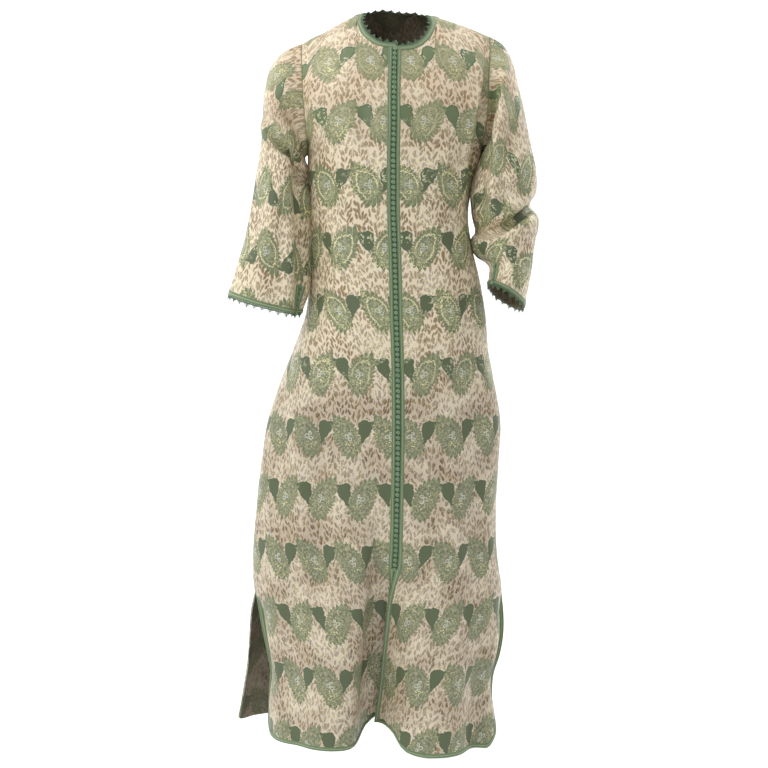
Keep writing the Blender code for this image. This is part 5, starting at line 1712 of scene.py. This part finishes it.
def chain_piece():
    link = [
        (0.0018 * math.cos(a), 0.0009 + 0.0008 * math.sin(a), 0.0002 * math.cos(2 * a))
        for a in ring_turns(10)
    ]
    return pattern_piece("lace_chain", tube([(link, True)], CHAIN_THREAD, sides=5))


def off_edge(sheet, row, inner_row, columns):
    """A line just past an edge, its ways out, and the ways off the edge across the cloth."""
    points, out = line_on(sheet, row, columns)
    away = points - line_on(sheet, inner_row, columns)[0]
    away = unit(away - out * (away * out).sum(axis=1, keepdims=True))
    return points + away * OFF_EDGE - out * OFF_EDGE, out, away


TEETH = dict(piece=tooth_piece(), pitch=TOOTH_PITCH, size_spread=0.16, turn_spread=0.16, seed=9)
CHAIN = dict(piece=chain_piece(), pitch=CHAIN_PITCH, size_spread=0.08, turn_spread=0.08, seed=3)


def lace(name, points, out, away):
    """Teeth and chain on one line. The line's direction decides the side the teeth point to."""
    ahead = points[1] - points[0]
    if np.dot(np.cross(out[0], ahead), away[0]) < 0:
        points, out = points[::-1], out[::-1]
    teeth = repeated(name, [(points, out)], material=lace_yarn, **TEETH)
    links = repeated(name + "_chain", [(points, out)], material=lace_yarn, **CHAIN)
    joined(teeth.data, links.data)
    bpy.data.objects.remove(links)
    return teeth


over_front = [off_edge(panel, 0, 2, range(NECK_SIDE + 1)) for panel in (right, left)]
over_back = off_edge(back, 0, 2, range(BACK_MIDDLE - NECK_REACH + 1, BACK_MIDDLE + NECK_REACH))
joined_up = [np.concatenate([a, b, c[::-1]]) for a, b, c in zip(over_front[0], over_back, over_front[1])]
neck_lace = lace("neck_picot_lace", *joined_up)
cuff_lace = {}
for side in SIGNS:
    sleeve = sheets["sleeve_" + side]
    low = sleeve.row_at[-1]
    cuff_lace[side] = lace(f"cuff_picot_{side}_lace", *off_edge(sleeve, low, low - 2, beside_slit(side)[1]))
print("faces of the neck lace:", len(neck_lace.data.polygons))

# %% [markdown]
# ## Cord in the armhole seams
# A thin cord of yellower thread is sewn over each armhole seam. It is one closed tube on the ring
# of points that the body and the sleeve share.

# %% Cord in the armhole seams
seam_cords = {}
for side in SIGNS:
    sleeve = sheets["sleeve_" + side]
    cord = tube([(sleeve.points[0, :-1] + sleeve.out[0, :-1] * 0.0006, True)], 0.0009)
    cord.shade_smooth()
    seam_cords[side] = linked(f"armhole_cord_{side}", cord, [seam_yarn])
print("armhole cords:", len(seam_cords))

# %% [markdown]
# ## Riding on the frame
# Every piece rides on the frame's one body, and the frame's nodes that it stands for are hidden.

# %% Riding on the frame
STANDS_FOR = {shells[name]: (name, "brocade") for name in shells}
STANDS_FOR[neck_braid] = ("neck_and_front_braid", "green_braid")
STANDS_FOR[hem_braids["back"]] = ("hem_braid_back", "green_braid")
STANDS_FOR[neck_lace] = ("neck_picot", "green_braid")
STANDS_FOR[front_knots] = ("front_knots", "green_knots")
for side in SIGNS:
    STANDS_FOR[hem_braids["front_" + side]] = ("hem_braid_front_" + side, "green_braid")
    STANDS_FOR[tacks[side]] = ("slit_tack_" + side, "green_braid")
    STANDS_FOR[cuff_braids[side]] = ("cuff_braid_" + side, "green_braid")
    STANDS_FOR[cuff_lace[side]] = ("cuff_picot_" + side, "green_braid")
    STANDS_FOR[cuff_knots[side]] = ("cuff_knots_" + side, "green_knots")
    STANDS_FOR[seam_cords[side]] = ("sleeve_" + side, "green_braid")
for piece, (node_name, slot_name) in STANDS_FOR.items():
    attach(piece, "root")
    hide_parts(node_name)
for name, sheet in sheets.items():
    width, length = sheet.size
    edges = sheet.points[1:, 1:] - sheet.points[:-1, :-1]
    crossing = sheet.points[1:, :-1] - sheet.points[:-1, 1:]
    area = float(np.linalg.norm(np.cross(edges, crossing), axis=2).sum() / 2)
    print(name, "is cut", round(width, 3), "by", round(length, 3), "m, area", round(area, 3), "m2")

# %% [markdown]
# ## Stage, light and camera

# %% Stage, light and camera
def to_look(obj, target):
    way = Vector(target) - obj.location
    obj.rotation_euler = way.to_track_quat("-Z", "Y").to_euler()


# The wall stands well behind, so that the part can be seen from behind too.
STAGE_HALF, WALL_AT, WALL_TOP, LAST_BIT = 7.0, 3.8, 5.0, 0.92
BEND = 0.9  # radius of the curve between the floor and the wall
FLOOR_AT = HEM - 0.16
turns = np.linspace(0.15, 1.5, 12)
profile = [(-STAGE_HALF, 0.0), (WALL_AT, 0.0)]
profile += [(WALL_AT + math.sin(a) * BEND, BEND - math.cos(a) * BEND) for a in turns]
profile += [(WALL_AT + LAST_BIT, WALL_TOP)]
count = len(profile)
stage_mesh = bpy.data.meshes.new("backdrop")
stage_mesh.from_pydata(
    [(x, y, z + FLOOR_AT) for x in (-STAGE_HALF, STAGE_HALF) for y, z in profile], [],
    [(k, k + 1, count + k + 1, count + k) for k in range(count - 1)]
)
stage_mesh.shade_smooth()
paper, paper_tree, paper_shader = new_material("backdrop_paper")
feed(paper_tree, paper_shader, {"Base Color": colour("fafafa"), "Roughness": 0.9})
stage_mesh.materials.append(paper)
placed("backdrop", stage_mesh, studio)

FORM, FLOOR, WALL = (0.0, 0.0, -0.6), (0.0, 2.0, -1.2), (0.0, 6.0, -0.6)
LIGHTS = [  # name, place, size, watts, what it points at
    ("key", (-2.5, -2.3, 1.7), 1.8, 64, FORM),
    ("fill", (2.4, -2.8, 0.6), 2.6, 2, FORM),
    ("top", (0.0, -0.4, 2.6), 2.0, 22, FORM),
    ("rim", (1.8, 1.6, 1.2), 1.2, 8, FORM),
    ("floor_left", (-2.6, 0.6, 1.8), 2.0, 34, FLOOR),
    ("floor_right", (2.6, 0.6, 1.8), 2.0, 34, FLOOR),
    ("wall_left", (-3.2, 2.6, 1.5), 1.6, 95, WALL),
    ("wall_right", (3.2, 2.6, 1.5), 1.6, 95, WALL),
]
for name, place, size, watts, target in LIGHTS:
    lamp = bpy.data.lights.new(name, "AREA")
    lamp.size, lamp.energy = size, watts
    holder = placed(name, lamp, studio)
    holder.location = place
    to_look(holder, target)
SKY = 0.44  # strength of the light from all round
world = bpy.data.worlds.new("studio")
world.use_nodes = True
feed(world.node_tree, world.node_tree.nodes["Background"], [colour("f7f7fa"), SKY])
bpy.context.scene.world = world
bpy.context.scene.view_settings.view_transform = "Standard"

CAMERA_AT = (-0.0234, -3.1, -0.450)
TILT = math.radians(4.53)
lens = bpy.data.cameras.new("camera")
lens.sensor_width, lens.lens = 36.0, 75.0
camera = placed("camera", lens, studio)
camera.location = CAMERA_AT
camera.rotation_euler = (math.pi / 2 - TILT, 0.0, 0.0)
bpy.context.scene.camera = camera
print("lens", lens.lens, "mm")

# %% Last lines
bpy.context.view_layer.update()
